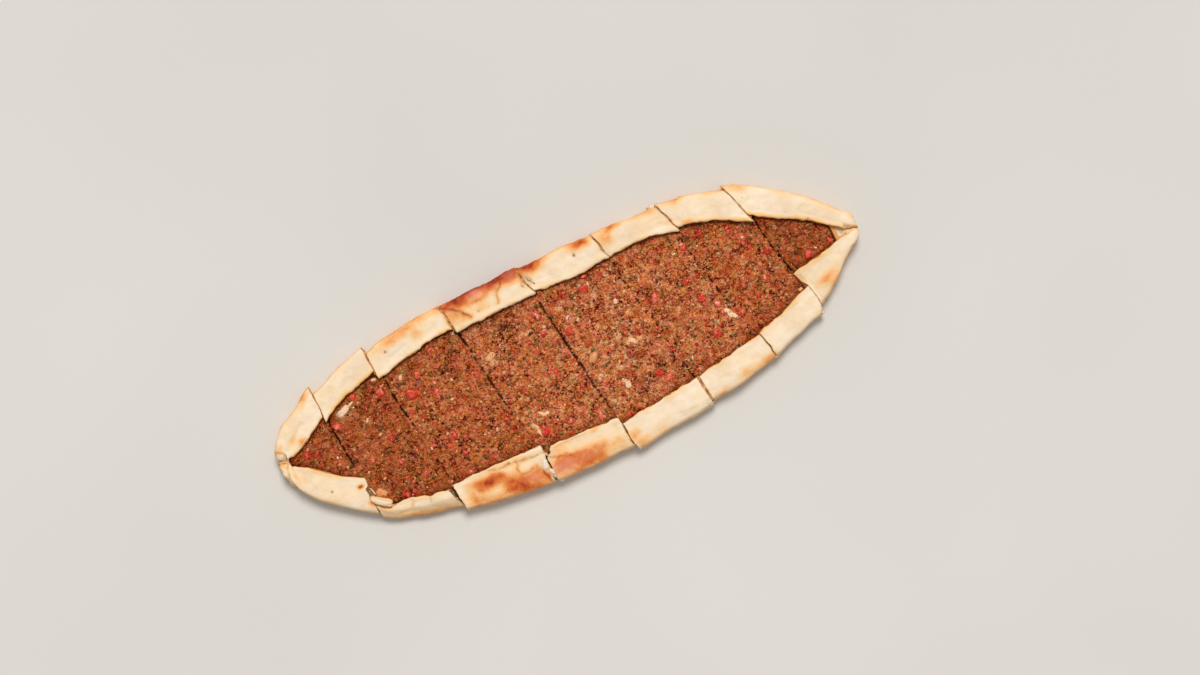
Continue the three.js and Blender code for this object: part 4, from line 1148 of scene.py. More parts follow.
def meat_slice(number, material):
    """One slice's layer of meat, which runs on a little under both rims."""
    start = MEAT_START if number == 0 else 0.0
    end = MEAT_END if number == LAST else 1.0
    s = stations(number, MEAT_SPACING, start, end)
    near, far, tuck = meat_edges(number, s)
    widest = (far - near + 2 * tuck).max()
    top = np.linspace(0, 1, round(widest / MEAT_SPACING))
    low, high = (near - tuck)[:, None], (far + tuck)[:, None]
    top_y = low + (high - low) * top
    level, inside = meat_level(number, s[:, None], top_y)
    top_x = place_x(number, s[:, None], top_y)
    relief, tint = meat_relief(top_x, top_y)
    shown = smoothstep(inside, -0.6, 1.4)
    left, right = slice_ends(number, top_y)
    to_cut = np.minimum((s[:, None] - start) * (right - left), (end - s[:, None]) * (right - left))
    relief = relief * (0.25 + 0.75 * shown) * (0.55 + 0.45 * smoothstep(to_cut, 0, 1.6))
    in_first_half = np.arange(len(s))[:, None] < len(s) / 2
    cut = np.where(in_first_half, number, number + 1)
    opened = smoothstep(meat_cut(cut + 0 * top_y, top_y)[1], 0.1, 0.6)
    top_z = level + relief - 0.45 * opened * np.exp(-to_cut / 0.7)
    top_z = np.where(inside < 0.4, np.minimum(top_z, LIP_UNDERSIDE - 0.3), top_z)

    under = np.linspace(1, 0, 8)[:-1]
    middle = (low + high) / 2
    down = np.linspace(0, 1, 4)[:-1]
    near_y = np.concatenate([middle + (low - middle) * (1 - under), low + 0 * down], 1)
    bottom_z = MEAT_FLOOR + 0 * middle * under
    near_z = np.concatenate([bottom_z, MEAT_FLOOR + (top_z[:, :1] - MEAT_FLOOR) * down], 1)
    far_y = np.concatenate([middle + (high - middle) * (1 - under), high + 0 * down], 1)[:, ::-1]
    far_z = np.concatenate([bottom_z, MEAT_FLOOR + (top_z[:, -1:] - MEAT_FLOOR) * down], 1)[:, ::-1]
    y = np.concatenate([near_y, top_y, far_y], 1)
    z = np.concatenate([near_z, top_z, far_z], 1)
    points = np.stack([place_x(number, s[:, None], y), y, z], -1)

    def whole(value, rest):
        side = np.full(near_y.shape, rest)
        return np.concatenate([side, value, side], 1)

    nearest_cut = whole(to_cut, NO_CUT)
    shift, width = meat_cut(cut + 0 * y, y)
    worn = (width - CUT_WIDTH) / 2 + 0.16 * smoothstep(width, 0.1, 0.6) * unevenness(points, 1, 50)
    worn = worn * smoothstep(-nearest_cut, -1.6, 0) * smoothstep(z, 5, 7)
    points[..., 0] += worn * np.where(in_first_half, 1, -1)
    points[..., 0] += shift * smoothstep(-nearest_cut, -9, 0) * smoothstep(z, 5, 7)
    if number == LAST:
        tip_edge = 1.5 * unevenness(points, 3.4, 48) + 0.8 * unevenness(points, 1.6, 49)
        points[..., 0] += (tip_edge - 0.6) * ~in_first_half * smoothstep(-nearest_cut, -3, 0)
    # Painted shade, darker in the relief's hollows and in the opened cuts.
    deep = smoothstep(-relief, 0.3, 1.05) + opened * np.exp(-to_cut / 0.5)
    values = {
        "tint": whole(tint, 0.3),
        "deep": np.clip(whole(deep, 0.6), 0, 1),
        "wet": whole(rim_juice_and_shade(inside), 0.6),
        "light": whole(MEAT_LIGHTNESS[number] + 0 * top_y, 0.4),
        "red": whole(stain(top_x, top_y, PEPPER_PLACES), 0),
        "pale": whole(stain(top_x, top_y, [place[:3] for place in ONION_PLACES]), 0),
    }

    # Most of the baking map is for the top, with narrow strips for the hidden sides and the cut faces.
    across = np.concatenate([0.03 * np.linspace(0, 1, near_y.shape[1], endpoint=False), 0.03 + 0.82 * top])
    across = np.concatenate([across, 0.85 + 0.03 * np.linspace(0, 1, far_y.shape[1] + 1)[1:]])
    lengthwise = (s - s[0]) / (s[-1] - s[0])
    uv = np.stack([0.01 + 0.98 * lengthwise[:, None] + 0 * y, 0.01 + across + 0 * y], -1)
    piece = laid_piece(f"minced_meat_{number + 1}", points, values, uv)
    lay_cap_maps(piece)
    piece.data.materials.append(material)
    bpy.ops.object.shade_smooth_by_angle(angle=math.radians(70))
    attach(piece, "root")
    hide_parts(f"filling_{number + 1}")


minced_meat = meat_finish()
for number in SLICE_NUMBERS:
    meat_slice(number, minced_meat)

# Loose crumbs of meat
# The baked meat breaks into coarse and fine grains that lie loose and half sunk on its surface, a few of
# them across the cuts. Each kind is one mesh of rounded lumps in several shapes, turned and sized one by
# one.

CRUMB_SEED = 51
COARSE_CRUMBS, COARSE_LENGTHS = 1700, (1.6, 3.3)
FINE_CRUMBS, FINE_LENGTHS = 5600, (0.8, 1.9)
LUMP_SHAPES = 9
WELL_INSIDE = 9.0


def quad_ball(cuts):
    """Points and faces of a ball of quads: a cube cut each way and rounded."""
    bpy.ops.object.select_all(action="DESELECT")
    bpy.ops.mesh.primitive_cube_add(size=2)
    bpy.ops.object.mode_set(mode="EDIT")
    bpy.ops.mesh.select_all(action="SELECT")
    bpy.ops.mesh.subdivide(number_cuts=cuts)
    bpy.ops.transform.tosphere(value=1)
    return taken_shape()


def small_ball():
    """Points and faces of a ball of 20 triangles."""
    bpy.ops.object.select_all(action="DESELECT")
    bpy.ops.mesh.primitive_ico_sphere_add(subdivisions=1, radius=1)
    bpy.ops.object.mode_set(mode="EDIT")
    return taken_shape()


def taken_shape():
    """Points and faces of the primitive being edited, which is then deleted."""
    bpy.ops.object.mode_set(mode="OBJECT")
    mesh = bpy.context.object.data
    points = np.array([vertex.co for vertex in mesh.vertices])
    faces = np.array([face.vertices for face in mesh.polygons])
    bpy.data.objects.remove(bpy.context.object)
    return points, faces


def lumpy(points, count, seed, roughness, squareness=0.0):
    """Several uneven copies of a rounded shape, more or less square."""
    shapes = []
    for k in range(count):
        shape = points / np.abs(points).max(1, keepdims=True) ** squareness
        noise = unevenness(shape + 7.0 * k, 0.9, seed) + 0.5 * unevenness(shape + 7.0 * k, 0.5, seed + 1)
        shapes.append(shape * (1 + roughness * noise[:, None]))
    return np.array(shapes)


def turns(random, count, tilt):
    """Random turns about the vertical, each tipped over a little."""
    yaw = random.uniform(0, 2 * np.pi, count)
    lean = random.normal(0, tilt, count)
    toward = random.uniform(0, 2 * np.pi, count)
    spin = np.zeros((count, 3, 3))
    spin[:, 0, 0] = spin[:, 1, 1] = np.cos(yaw)
    spin[:, 1, 0], spin[:, 0, 1] = np.sin(yaw), -np.sin(yaw)
    spin[:, 2, 2] = 1
    axis = np.stack([np.cos(toward), np.sin(toward), 0 * toward], -1)
    cross = np.zeros((count, 3, 3))
    cross[:, 0, 2], cross[:, 2, 0] = axis[:, 1], -axis[:, 1]
    cross[:, 2, 1], cross[:, 1, 2] = axis[:, 0], -axis[:, 0]
    tip = np.eye(3) + np.sin(lean)[:, None, None] * cross + (1 - np.cos(lean))[:, None, None] * cross @ cross
    return tip @ spin


def headed(degrees):
    """Turns about the vertical by these angles."""
    c, s, zero = np.cos(np.radians(degrees)), np.sin(np.radians(degrees)), 0.0 * degrees
    return np.stack(
        [np.stack([c, -s, zero], -1), np.stack([s, c, zero], -1), np.stack([zero, zero, zero + 1], -1)],
        1,
    )


def strewn_piece(name, shapes, faces, middles, sizes, spins, values, material, thin=False):
    """One mesh of many small bits. Each bit has its own cell in the map that is kept for baking."""
    count, corners = len(middles), shapes.shape[1]
    picked = shapes[np.arange(count) % len(shapes)] * sizes[:, None, :]
    placed = np.einsum("nij,nvj->nvi", spins, picked) + middles[:, None, :]
    bpy.ops.object.select_all(action="DESELECT")
    bpy.ops.mesh.primitive_cube_add()
    piece = bpy.context.object
    piece.name = name
    mesh = bpy.data.meshes.new(name)
    all_faces = (faces[None] + corners * np.arange(count)[:, None, None]).reshape(-1, faces.shape[1])
    mesh.from_pydata(((placed + TO_ROW_FRAME) * MM).reshape(-1, 3), [], all_faces)
    piece.data = mesh
    by_point = {key: value[:, None] if value.ndim == 1 else value for key, value in values.items()}
    paint(mesh, {key: np.broadcast_to(value, (count, corners)) for key, value in by_point.items()})
    one = thin_map(shapes[0], faces) if thin else ball_map(shapes[0], faces)
    columns = math.ceil(math.sqrt(count))
    cells = np.stack([np.arange(count) % columns, np.arange(count) // columns], -1)
    layer = mesh.uv_layers.new(name="OFBake")
    uv = (cells[:, None, :] + 0.04 + 0.92 * one[None]) / columns
    layer.uv.foreach_set("vector", uv.astype(np.float32).ravel())
    piece.data.materials.append(material)
    bpy.ops.object.shade_smooth()
    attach(piece, "root")


def ball_map(shape, faces):
    """Each corner's place in a bit's cell of the map: upper faces round the top, lower ones in a corner."""
    base = shape / np.linalg.norm(shape, axis=1, keepdims=True)
    reach = np.arccos(np.clip(base[:, 2], -1, 1)) / np.pi
    side = np.maximum(np.hypot(base[:, 0], base[:, 1]), 1e-6)
    round_top = 0.56 + 0.55 * base[:, :2] * (reach / side)[:, None]
    below = 0.1 + 0.07 * base[:, :2]
    is_top = base[faces].mean(1)[:, 2] > -0.35
    return np.where(is_top[:, None, None], round_top[faces], below[faces]).reshape(-1, 2)


def thin_map(shape, faces):
    """The same for a flat or long bit: faces that look up fill the cell, others lie small in a corner."""
    low, high = shape[:, :2].min(0), shape[:, :2].max(0)
    flat = (shape[:, :2] - low) / (high - low)
    corner = shape[faces]
    normals = np.cross(corner[:, 1] - corner[:, 0], corner[:, 2] - corner[:, 1])
    looks_up = normals[:, 2] > 0.2 * np.linalg.norm(normals, axis=1)
    shown, hidden = 0.22 + 0.76 * flat[faces], 0.02 + 0.16 * flat[faces]
    return np.where(looks_up[:, None, None], shown, hidden).reshape(-1, 2)


def meat_places(random, count, margin):
    """Random places on the meat: x, y, the slice, the distance from the rim and the distance from a cut."""
    x, y = random.uniform(-217, 209, 6 * count), random.uniform(-70, 50, 6 * count)
    number = sum((x > at + lean * y).astype(int) for at, lean in CUTS[1:-1])
    inside, to_cut, gap = np.full(x.shape, -1.0), np.zeros(x.shape), np.zeros(x.shape)
    for n in SLICE_NUMBERS:
        mine = number == n
        left, right = slice_ends(n, y[mine])
        s = (x[mine] - left) / (right - left)
        near, far, _ = meat_edges(n, np.clip(s, 0, 1))
        within = np.minimum(y[mine] - near, far - y[mine])
        start, end = MEAT_START if n == 0 else -1, MEAT_END if n == LAST else 2
        inside[mine] = np.where((s > start) & (s < end), within, -1)
        left_shift, left_gap = meat_cut(n + 0 * s, y[mine])
        right_shift, right_gap = meat_cut(n + 1 + 0 * s, y[mine])
        to_left = np.abs(s * (right - left) - left_shift) if n > 0 else np.full(s.shape, NO_CUT)
        to_right = np.abs((1 - s) * (right - left) + right_shift) if n < LAST else np.full(s.shape, NO_CUT)
        to_cut[mine] = np.minimum(to_left, to_right)
        gap[mine] = np.where(to_left < to_right, left_gap, right_gap)
    kept = (inside > margin) & ((to_cut > margin) | (random.random(x.shape) > smoothstep(gap, 0.1, 0.8)))
    return tuple(value[kept][:count] for value in (x, y, number, inside, to_cut))


def on_meat(x, y, inside):
    """The height of the meat's surface."""
    level = MEAT_EDGE_HEIGHT + (MEAT_HEIGHT - MEAT_EDGE_HEIGHT) * smoothstep(inside, 0.2, 2.2)
    return level + meat_relief(x, y)[0]


ball, ball_faces = quad_ball(cuts=1)
finer_ball, finer_faces = quad_ball(cuts=2)
tiny_ball, tiny_faces = small_ball()


def mostly_short(random, span, count, falloff):
    """Random lengths within a span, more of them near its short end."""
    return span[0] + (span[1] - span[0]) * random.random(count) ** falloff


def crumbs(name, random, count, lengths, shapes, faces, sunk, material):
    """One kind of loose crumbs, strewn over the meat of all slices."""
    x, y, number, inside, to_cut = meat_places(random, count, margin=0.7)
    half = mostly_short(random, lengths, len(x), 1.7) / 2
    sizes = np.stack(
        [half, half * random.uniform(0.62, 0.95, len(x)), half * random.uniform(0.5, 0.85, len(x))],
        -1,
    )
    over_cut = smoothstep(-to_cut, -0.9, -0.2)
    z = on_meat(x, y, inside) + sizes[:, 2] * (sunk + 0.3 * random.normal(0, 0.5, len(x)))
    z = z - random.uniform(-0.2, 0.9, len(x)) * over_cut
    z = np.minimum(z, MEAT_HEIGHT + 1.6 - 0.8 * np.exp(-inside / 3))
    flat = np.stack([x, y, 0 * x], -1)
    tint = 0.5 + 0.17 * random.normal(0, 1, len(x)) + 0.2 * unevenness(flat, 9, 52)
    values = {
        "tint": np.clip(tint, 0, 1),
        # Each crumb is darker on its lower part: painted shade.
        "deep": np.clip(0.15 - 0.75 * shapes[np.arange(len(x)) % len(shapes)][:, :, 2], 0, 1),
        "wet": rim_juice_and_shade(inside),
        "light": np.array(MEAT_LIGHTNESS)[number],
    }
    spins = turns(random, len(x), tilt=0.45)
    strewn_piece(name, shapes, faces, np.stack([x, y, z], -1), sizes, spins, values, material)


crumb_random = np.random.default_rng(CRUMB_SEED)
coarse_lumps = lumpy(ball, LUMP_SHAPES, seed=53, roughness=0.38, squareness=0.5)
fine_lumps = lumpy(tiny_ball, LUMP_SHAPES, seed=55, roughness=0.4)
crumbs(
    "coarse_crumbs", crumb_random, COARSE_CRUMBS, COARSE_LENGTHS, coarse_lumps, ball_faces, sunk=-0.5,
    material=minced_meat,
)
crumbs(
    "fine_crumbs", crumb_random, FINE_CRUMBS, FINE_LENGTHS, fine_lumps, tiny_faces, sunk=-0.35,
    material=minced_meat,
)

# Red pepper and tomato
# Small dice of red pepper and bits of tomato, cooked soft and glossy, sunk in the meat. The larger ones lie
# where they were seen: middle x and y and length.

PEPPER_SEED = 61
SMALL_PEPPERS, SMALL_PEPPER_LENGTHS = 170, (1.3, 2.8)
THICKEST = 2.6

# Those whose shade was seen as well: middle x and y and tint, from deep red at 0 to pale at 1.
BRIGHT_PEPPERS = [
    (125, -27, 0.06), (111.9, -19.7, 0.3), (5, 6, 0.42), (54, -45, 0.42), (-37, -54, 0.42),
    (-146, -59, 0.42), (-140, -59, 0.42), (-116, 6, 0.42), (-101, -32, 0.42), (185, -5, 0.42),
    (103, 32, 0.42),
]
SEEN_REACH = 2


def soft_vegetable(name, stops, roughness, mottle, juices=0.0, specular=0.3):
    """A cooked vegetable or herb in shades from dark to pale, mottled and stained by the juices."""
    finish = Finish(name, roughness=roughness, specular=specular)
    tint, deep = finish.painted("tint"), finish.painted("deep")
    patches, fine = finish.grain(0.0022, 2), finish.grain(0.0007, 2)
    flesh = finish.ramp(tint + (patches - 0.5) * mottle + (fine - 0.5) * 0.4, *stops)
    flesh = finish.blend(finish.band(finish.grain(0.0015, 2), 0.5, 0.64, 0, juices), flesh, (214, 104, 56))
    # Painted shade: each bit darker towards its lower part.
    finish.feed("Base Color", finish.blend(deep * 0.6, flesh, (130, 48, 18)))
    finish.feed("Normal", finish.bump(patches * 0.6 + fine * 0.4, 0.0003))
    return finish.material


# Strong mottling up to the pale end of its shades gives pale pink patches: partly the pepper's own pink,
# partly painted highlights.
red_pepper = soft_vegetable(
    "red_pepper",
    [
        (0.0, (158, 26, 8)),
        (0.3, (202, 36, 22)),
        (0.5, (216, 58, 44)),
        (0.72, (228, 96, 78)),
        (1.0, (248, 172, 150)),
    ],
    roughness=0.28, mottle=1.5, juices=0.75, specular=0.32,
)


def vegetable(
    name, random, listed, extra_count, extra_lengths, proportions, shapes, faces, sunk, tilt, material,
    tint_of,
):
    """Listed bits and random ones. The listed ones may have a width, a turn and a tint of their own."""
    x, y, length, *laid = listed
    more_x, more_y, _, more_inside, _ = meat_places(random, extra_count, margin=1.2)
    more_length = mostly_short(random, extra_lengths, len(more_x), 1.6)
    x, y, length = np.append(x, more_x), np.append(y, more_y), np.append(length, more_length)
    inside = np.append(np.full(len(listed[0]), WELL_INSIDE), more_inside)
    breadth, thickness = (random.uniform(*span, len(x)) for span in proportions)
    spins, tint = turns(random, len(x), tilt), tint_of(random, x, y)
    if laid:
        count = len(listed[0])
        breadth[:count] = laid[0] / listed[2]
        spins[:count] = headed(laid[1])
        tint[:count] = laid[2]
    sizes = np.stack([length, length * breadth, np.minimum(length * thickness, THICKEST)], -1) / 2
    z = on_meat(x, y, inside) * 0.5 + (MEAT_HEIGHT + 0.2) * 0.5 + sizes[:, 2] * sunk
    values = {
        "tint": np.clip(tint, 0, 1),
        # Each bit is darker on its lower part: painted shade.
        "deep": np.clip(0.32 - 0.9 * shapes[np.arange(len(x)) % len(shapes)][:, :, 2], 0, 1),
    }
    strewn_piece(name, shapes, faces, np.stack([x, y, z], -1), sizes, spins, values, material)


def pepper_tint(random, x, y):
    tint = random.normal(0.45, 0.26, len(x))
    for bright_x, bright_y, bright_tint in BRIGHT_PEPPERS:
        tint = np.where(np.hypot(x - bright_x, y - bright_y) < SEEN_REACH, bright_tint, tint)
    return tint


vegetable(
    "red_pepper_dice",
    np.random.default_rng(PEPPER_SEED),
    np.array(PEPPER_PLACES, float).T,
    SMALL_PEPPERS,
    SMALL_PEPPER_LENGTHS,
    proportions=((0.6, 0.9), (0.18, 0.28)),
    shapes=lumpy(finer_ball, LUMP_SHAPES, seed=62, roughness=0.5, squareness=0.6),
    faces=finer_faces,
    sunk=-0.35,
    tilt=0.16,
    material=red_pepper,
    tint_of=pepper_tint,
)

# Onion and fat
# Cream slivers of onion and small flecks of fat, softened and stained by the juices, flat in the meat.

ONION_SEED = 71
SMALL_ONIONS, SMALL_ONION_LENGTHS = 260, (0.8, 2.4)

onion = soft_vegetable(
    "onion",
    [(0.0, (206, 120, 62)), (0.35, (224, 152, 94)), (0.65, (240, 190, 142)), (1.0, (242, 212, 182))],
    roughness=0.35, mottle=0.7, juices=0.4,
)


def onion_tint(random, x, y):
    return random.normal(0.24, 0.18, len(x))


vegetable(
    "onion_slivers",
    np.random.default_rng(ONION_SEED),
    np.array(ONION_PLACES, float).T,
    SMALL_ONIONS,
    SMALL_ONION_LENGTHS,
    proportions=((0.45, 0.8), (0.12, 0.18)),
    shapes=lumpy(finer_ball, LUMP_SHAPES, seed=72, roughness=0.34, squareness=0.4),
    faces=finer_faces,
    sunk=0.35,
    tilt=0.1,
    material=onion,
    tint_of=onion_tint,
)

# Torn bits of dough
# Bits of the crust's soft inside that the knife tore loose, left in the rims' cuts and hanging from their
# ends: middle x, y and z, length, width, turn in degrees and how pale they are.

TORN_BITS = [
    (-46, -76.2, 13.7, 6.6, 3, 78, 0.95), (-42.8, -82.6, 13.2, 5, 2.4, -66, 0.8),
    (-41, -86.6, 12.4, 5, 2.8, -58, 0.95), (-39.2, -89.4, 9.4, 4, 3, -30, 1),
    (-44.2, -79.4, 12.6, 2.6, 1.5, 80, 0.7), (-42.6, -69.6, 11.6, 2.6, 1.4, -50, 0.55),
    (-41.4, -71.8, 11.2, 1.8, 1, 30, 0.35), (-45.8, -84.4, 12, 5.4, 1.7, 72, 0.12),
    (22.2, -89, 5.6, 3, 2.2, 60, 0.95), (20, -87.4, 8, 2.4, 1.2, -50, 0.7),
    (78.8, -80.2, 5.4, 6.4, 3, 4, 0.95), (82, -78, 8, 2.6, 1.4, 60, 0.7),
    (49.8, 47.4, 11.6, 3.6, 2, 20, 0.85), (48.3, 50, 11.6, 2.2, 1, 70, 0.55),
    (-8, 52.6, 12.9, 5.6, 2.6, -62, 0.42), (-6.2, 48.8, 12.8, 3.4, 1.2, -58, 0.45),
    (93, 67, 8.6, 4.4, 2.4, 6, 0.9), (98.8, 59.6, 12, 2.8, 0.8, -62, 0.7),
    (100.6, 55.4, 12, 2.2, 0.8, -66, 0.75), (97, 62.8, 11.6, 1.8, 0.7, -60, 0.55),
    (-72.3, 43.4, 10.8, 1.9, 1.2, 40, 0.2), (-72, 40.8, 10.2, 1.5, 1, -30, 0.15),
    (-167.9, -48.4, 10, 5.4, 0.9, -73, 0.6), (176, -24.4, 10.9, 2, 1.2, 20, 0.35),
    (177.6, -48.6, 7.4, 4.6, 1.8, 8, 0.95), (179, -44.6, 8.4, 2.6, 1.4, 80, 0.8),
    (172.6, -20.6, 9.6, 3, 1.6, -40, 0.3), (-41.6, -66.8, 10.2, 3.4, 2.6, 20, 0),
    (-42.4, -68.6, 10.8, 2.4, 1.6, -60, 0.05), (-40.6, -65.4, 9.6, 3, 2.4, 60, 0),
    (-115, -70, 9.6, 2, 1.2, -70, 0.3), (-113.6, -75.4, 9.4, 1.8, 1, -60, 0.3),
    (79.6, -62, 9.6, 2, 1, -80, 0.4), (80.6, -68.6, 9.6, 2.2, 1, -80, 0.4),
    (134.8, -57.4, 11.4, 1.4, 0.7, -70, 0.4),
]

# Smaller ones fill most of the rims' cuts, a little below their top.
CUT_CRUMB_SEED = 94
CUTS_WITH_CRUMB = [
    ("far", 2), ("far", 3), ("far", 4), ("far", 5), ("far", 6), ("far", 7), ("near", 5), ("near", 6),
]
CRUMB_STEP, CRUMB_MARGIN, CRUMB_DROP = 1.2, 1.2, 1.5
RIM_TOP = ((0, 0.25, 0.55, 0.84, 0.95), (0.93, 0.985, 1, 0.965, 0.87))


def cut_crumb(random):
    """Bits of dough in the rims' cuts, listed as the torn ones are."""
    bits = []
    for side, n in CUTS_WITH_CRUMB:
        before = np.ravel(rim_edges(n - 1, side, np.ones(1))[:2])
        after = np.ravel(rim_edges(n, side, np.zeros(1))[:2])
        inner, outer = (before + after) / 2
        crest = CREST_HEIGHT + (RIMS[n - 1][side][2] + RIMS[n][side][2]) / 2
        across, shifts, _ = np.array(RIM_CUTS[side][n], float).T
        for y in np.arange(min(inner, outer) + CRUMB_MARGIN, max(inner, outer) - CRUMB_MARGIN, CRUMB_STEP):
            y += random.normal(0, 0.3)
            x = CUTS[n][0] + CUTS[n][1] * y + np.interp(y, across, shifts) + random.normal(0, 0.2)
            top = crest * np.interp((y - inner) / (outer - inner), *RIM_TOP)
            z = top - CRUMB_DROP + random.normal(0, 0.2)
            turn = math.degrees(math.atan2(1, CUTS[n][1])) + random.normal(0, 20)
            length, width, paleness = random.uniform(1.8, 3), random.uniform(1.3, 2.1), random.uniform(0, 0.4)
            bits.append((x, y, z, length, width, turn, paleness))
    return bits


def dough_crumb_finish():
    finish = Finish("torn_dough", roughness=0.8, specular=0.2)
    tint, fine = finish.painted("tint"), finish.grain(0.0008, 2)
    soft = finish.ramp(
        tint + (fine - 0.5) * 0.4,
        (0.0, (150, 84, 40)),
        (0.35, (218, 172, 118)),
        (0.65, (234, 210, 174)),
        (1.0, (240, 226, 206)),
    )
    finish.feed("Base Color", soft)
    finish.feed("Normal", finish.bump(fine, 0.0003))
    return finish.material


all_bits = TORN_BITS + cut_crumb(np.random.default_rng(CUT_CRUMB_SEED))
bit_x, bit_y, bit_z, bit_length, bit_width, bit_turn, bit_tint = np.array(all_bits, float).T
strewn_piece(
    "torn_dough",
    lumpy(finer_ball, LUMP_SHAPES, seed=92, roughness=0.34, squareness=0.3),
    finer_faces,
    np.stack([bit_x, bit_y, bit_z], -1),
    np.stack([bit_length, bit_width, np.minimum(bit_width * 0.6, 1.4)], -1) / 2,
    headed(bit_turn),
    {"tint": bit_tint},
    dough_crumb_finish(),
)

# Rolled flap
# A strip of the second slice's rim that curled over itself and baked into a small roll with browned ends,
# resting on the rim's inner edge beside the cut.

FLAP_MIDDLE = (-165.2, -57.2, 11.9)
FLAP_HALF = (8.6, 3, 2.6)
FLAP_TURN = -33
FLAP_RINGS, FLAP_SIDES = 40, 28

bpy.ops.object.select_all(action="DESELECT")
bpy.ops.mesh.primitive_uv_sphere_add(segments=FLAP_SIDES, ring_count=FLAP_RINGS, radius=1)
flap = bpy.context.object
flap.name = flap.data.name = "rolled_flap"
ball_places = np.array([vertex.co for vertex in flap.data.vertices])
lengthwise = np.sin(np.clip(ball_places[:, 2], -1, 1) * np.pi / 2)
girth = np.sqrt(np.maximum(1 - np.abs(lengthwise) ** 4, 0))
around = np.arctan2(ball_places[:, 1], ball_places[:, 0])
shape = np.stack([lengthwise, np.cos(around) * girth, np.sin(around) * girth], -1)
lapped = 1 - 0.14 * np.exp(-(((around - 0.9 - 0.3 * lengthwise) / 0.16) ** 2))
waist = 1 - 0.22 * np.exp(-(((lengthwise + 0.5) / 0.1) ** 2))
shape[:, 1:] *= (lapped * waist * (1 + 0.12 * unevenness(shape, 0.7, 93)))[:, None]
shape[:, 1] += 0.35 * lengthwise**2
c, s = cos_sin(FLAP_TURN)
laid = shape * FLAP_HALF @ np.array([[c, s, 0], [-s, c, 0], [0, 0, 1]]) + FLAP_MIDDLE
flap.data.vertices.foreach_set("co", ((laid + TO_ROW_FRAME) * MM).ravel())
paint(
    flap.data,
    {
        "toast": 0.04 + 0.4 * smoothstep(np.abs(lengthwise), 0.86, 1),
        "oil": 0.2 + 0.3 * shape[:, 1],
        "dark": 2 * (1 - lapped),
        # Painted shade in the groove where the roll laps over itself.
        "streak": 0.5 + 0.3 * unevenness(shape * (0.3, 1, 1), 0.3, 53),
    },
)
bpy.ops.object.mode_set(mode="EDIT")
bpy.ops.mesh.select_all(action="SELECT")
bpy.ops.mesh.normals_make_consistent(inside=False)
bpy.ops.object.mode_set(mode="OBJECT")
flap.data.materials.append(baked_dough)
bpy.ops.object.shade_smooth()
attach(flap, "root")

# Chopped parsley
# Flecks of leaf and a few strips of stalk, baked dark and dull green, crumpled flat onto the meat.

PARSLEY_SEED = 83
PARSLEY_FLECKS, PARSLEY_LENGTHS = 520, (1.2, 3.8)
LEAF_SHAPES = 7
STALK_PLACES = [
    (-75, 33, 10, 75), (-73, 31, 7, 60), (111, 30, 8, 40), (108, 33, 5, 10), (-42, -47, 8, -50),
    (-38, -46, 5, -70), (-152, 22, 4, 20), (-150, 19, 4, -60), (-184, 6, 6, 70), (40, -29, 4, 20),
    (-1, 39, 4, 80), (75, -50, 4, 10),
]


def crumpled_leaf():
    """Points and faces of a thin leaf fleck: a small sheet with an uneven outline, given a thickness."""
    bpy.ops.object.select_all(action="DESELECT")
    bpy.ops.mesh.primitive_grid_add(x_subdivisions=3, y_subdivisions=2, size=2)
    bpy.ops.object.mode_set(mode="EDIT")
    bpy.ops.mesh.select_all(action="SELECT")
    bpy.ops.mesh.extrude_region_move(TRANSFORM_OT_translate={"value": (0, 0, 0.3)})
    bpy.ops.mesh.select_all(action="SELECT")
    bpy.ops.mesh.normals_make_consistent(inside=False)
    return taken_shape()


leaf, leaf_faces = crumpled_leaf()


def leaf_shapes():
    """Several crumpled leaf flecks, each with an outline and bends of its own."""
    shapes = []
    for k in range(LEAF_SHAPES):
        flat = leaf * (1, 1, 0) + 11.0 * k
        rounded = leaf.copy()
        folded = 1 - 0.28 * np.abs(leaf[:, :1] * leaf[:, 1:2])
        rounded[:, :2] *= folded * (1 + 0.3 * unevenness(flat, 0.7, 81)[:, None])
        rounded[:, 2] += 0.8 * unevenness(flat, 1.1, 82)
        shapes.append(rounded)
    return np.array(shapes)


parsley = soft_vegetable(
    "parsley",
    [(0.0, (54, 38, 8)), (0.35, (82, 66, 22)), (0.7, (114, 98, 42)), (1.0, (164, 142, 76))],
    roughness=0.6, mottle=0.7, juices=0.5, specular=0.2,
)
parsley_random = np.random.default_rng(PARSLEY_SEED)
x, y, _, inside, _ = meat_places(parsley_random, PARSLEY_FLECKS, margin=0.9)
length = mostly_short(parsley_random, PARSLEY_LENGTHS, len(x), 1.6)
sizes = np.stack([length / 2, length * parsley_random.uniform(0.25, 0.45, len(x)), 0.35 + 0 * x], -1)
z = on_meat(x, y, inside) + 0.3 + 0.12 * parsley_random.normal(0, 1, len(x))
strewn_piece(
    "parsley_flecks",
    leaf_shapes(),
    leaf_faces,
    np.stack([x, y, z], -1),
    sizes,
    turns(parsley_random, len(x), tilt=0.35),
    {"tint": np.clip(parsley_random.normal(0.4, 0.26, len(x)), 0, 1), "deep": 0 * x},
    parsley, thin=True,
)


def stalk_shape():
    """Points and faces of a bent length of stalk, from a six-sided rod cut into five."""
    bpy.ops.object.select_all(action="DESELECT")
    bpy.ops.mesh.primitive_cylinder_add(
        vertices=6, radius=1, depth=2, end_fill_type="TRIFAN", rotation=(0, math.pi / 2, 0),
    )
    bpy.ops.object.transform_apply(location=False, rotation=True, scale=False)
    bpy.ops.object.mode_set(mode="EDIT")
    for cut in (-0.6, -0.2, 0.2, 0.6):
        bpy.ops.mesh.select_all(action="SELECT")
        bpy.ops.mesh.bisect(plane_co=(cut, 0, 0), plane_no=(1, 0, 0))
    bpy.ops.mesh.select_all(action="SELECT")
    bpy.ops.mesh.quads_convert_to_tris()
    return taken_shape()


rod, rod_faces = stalk_shape()


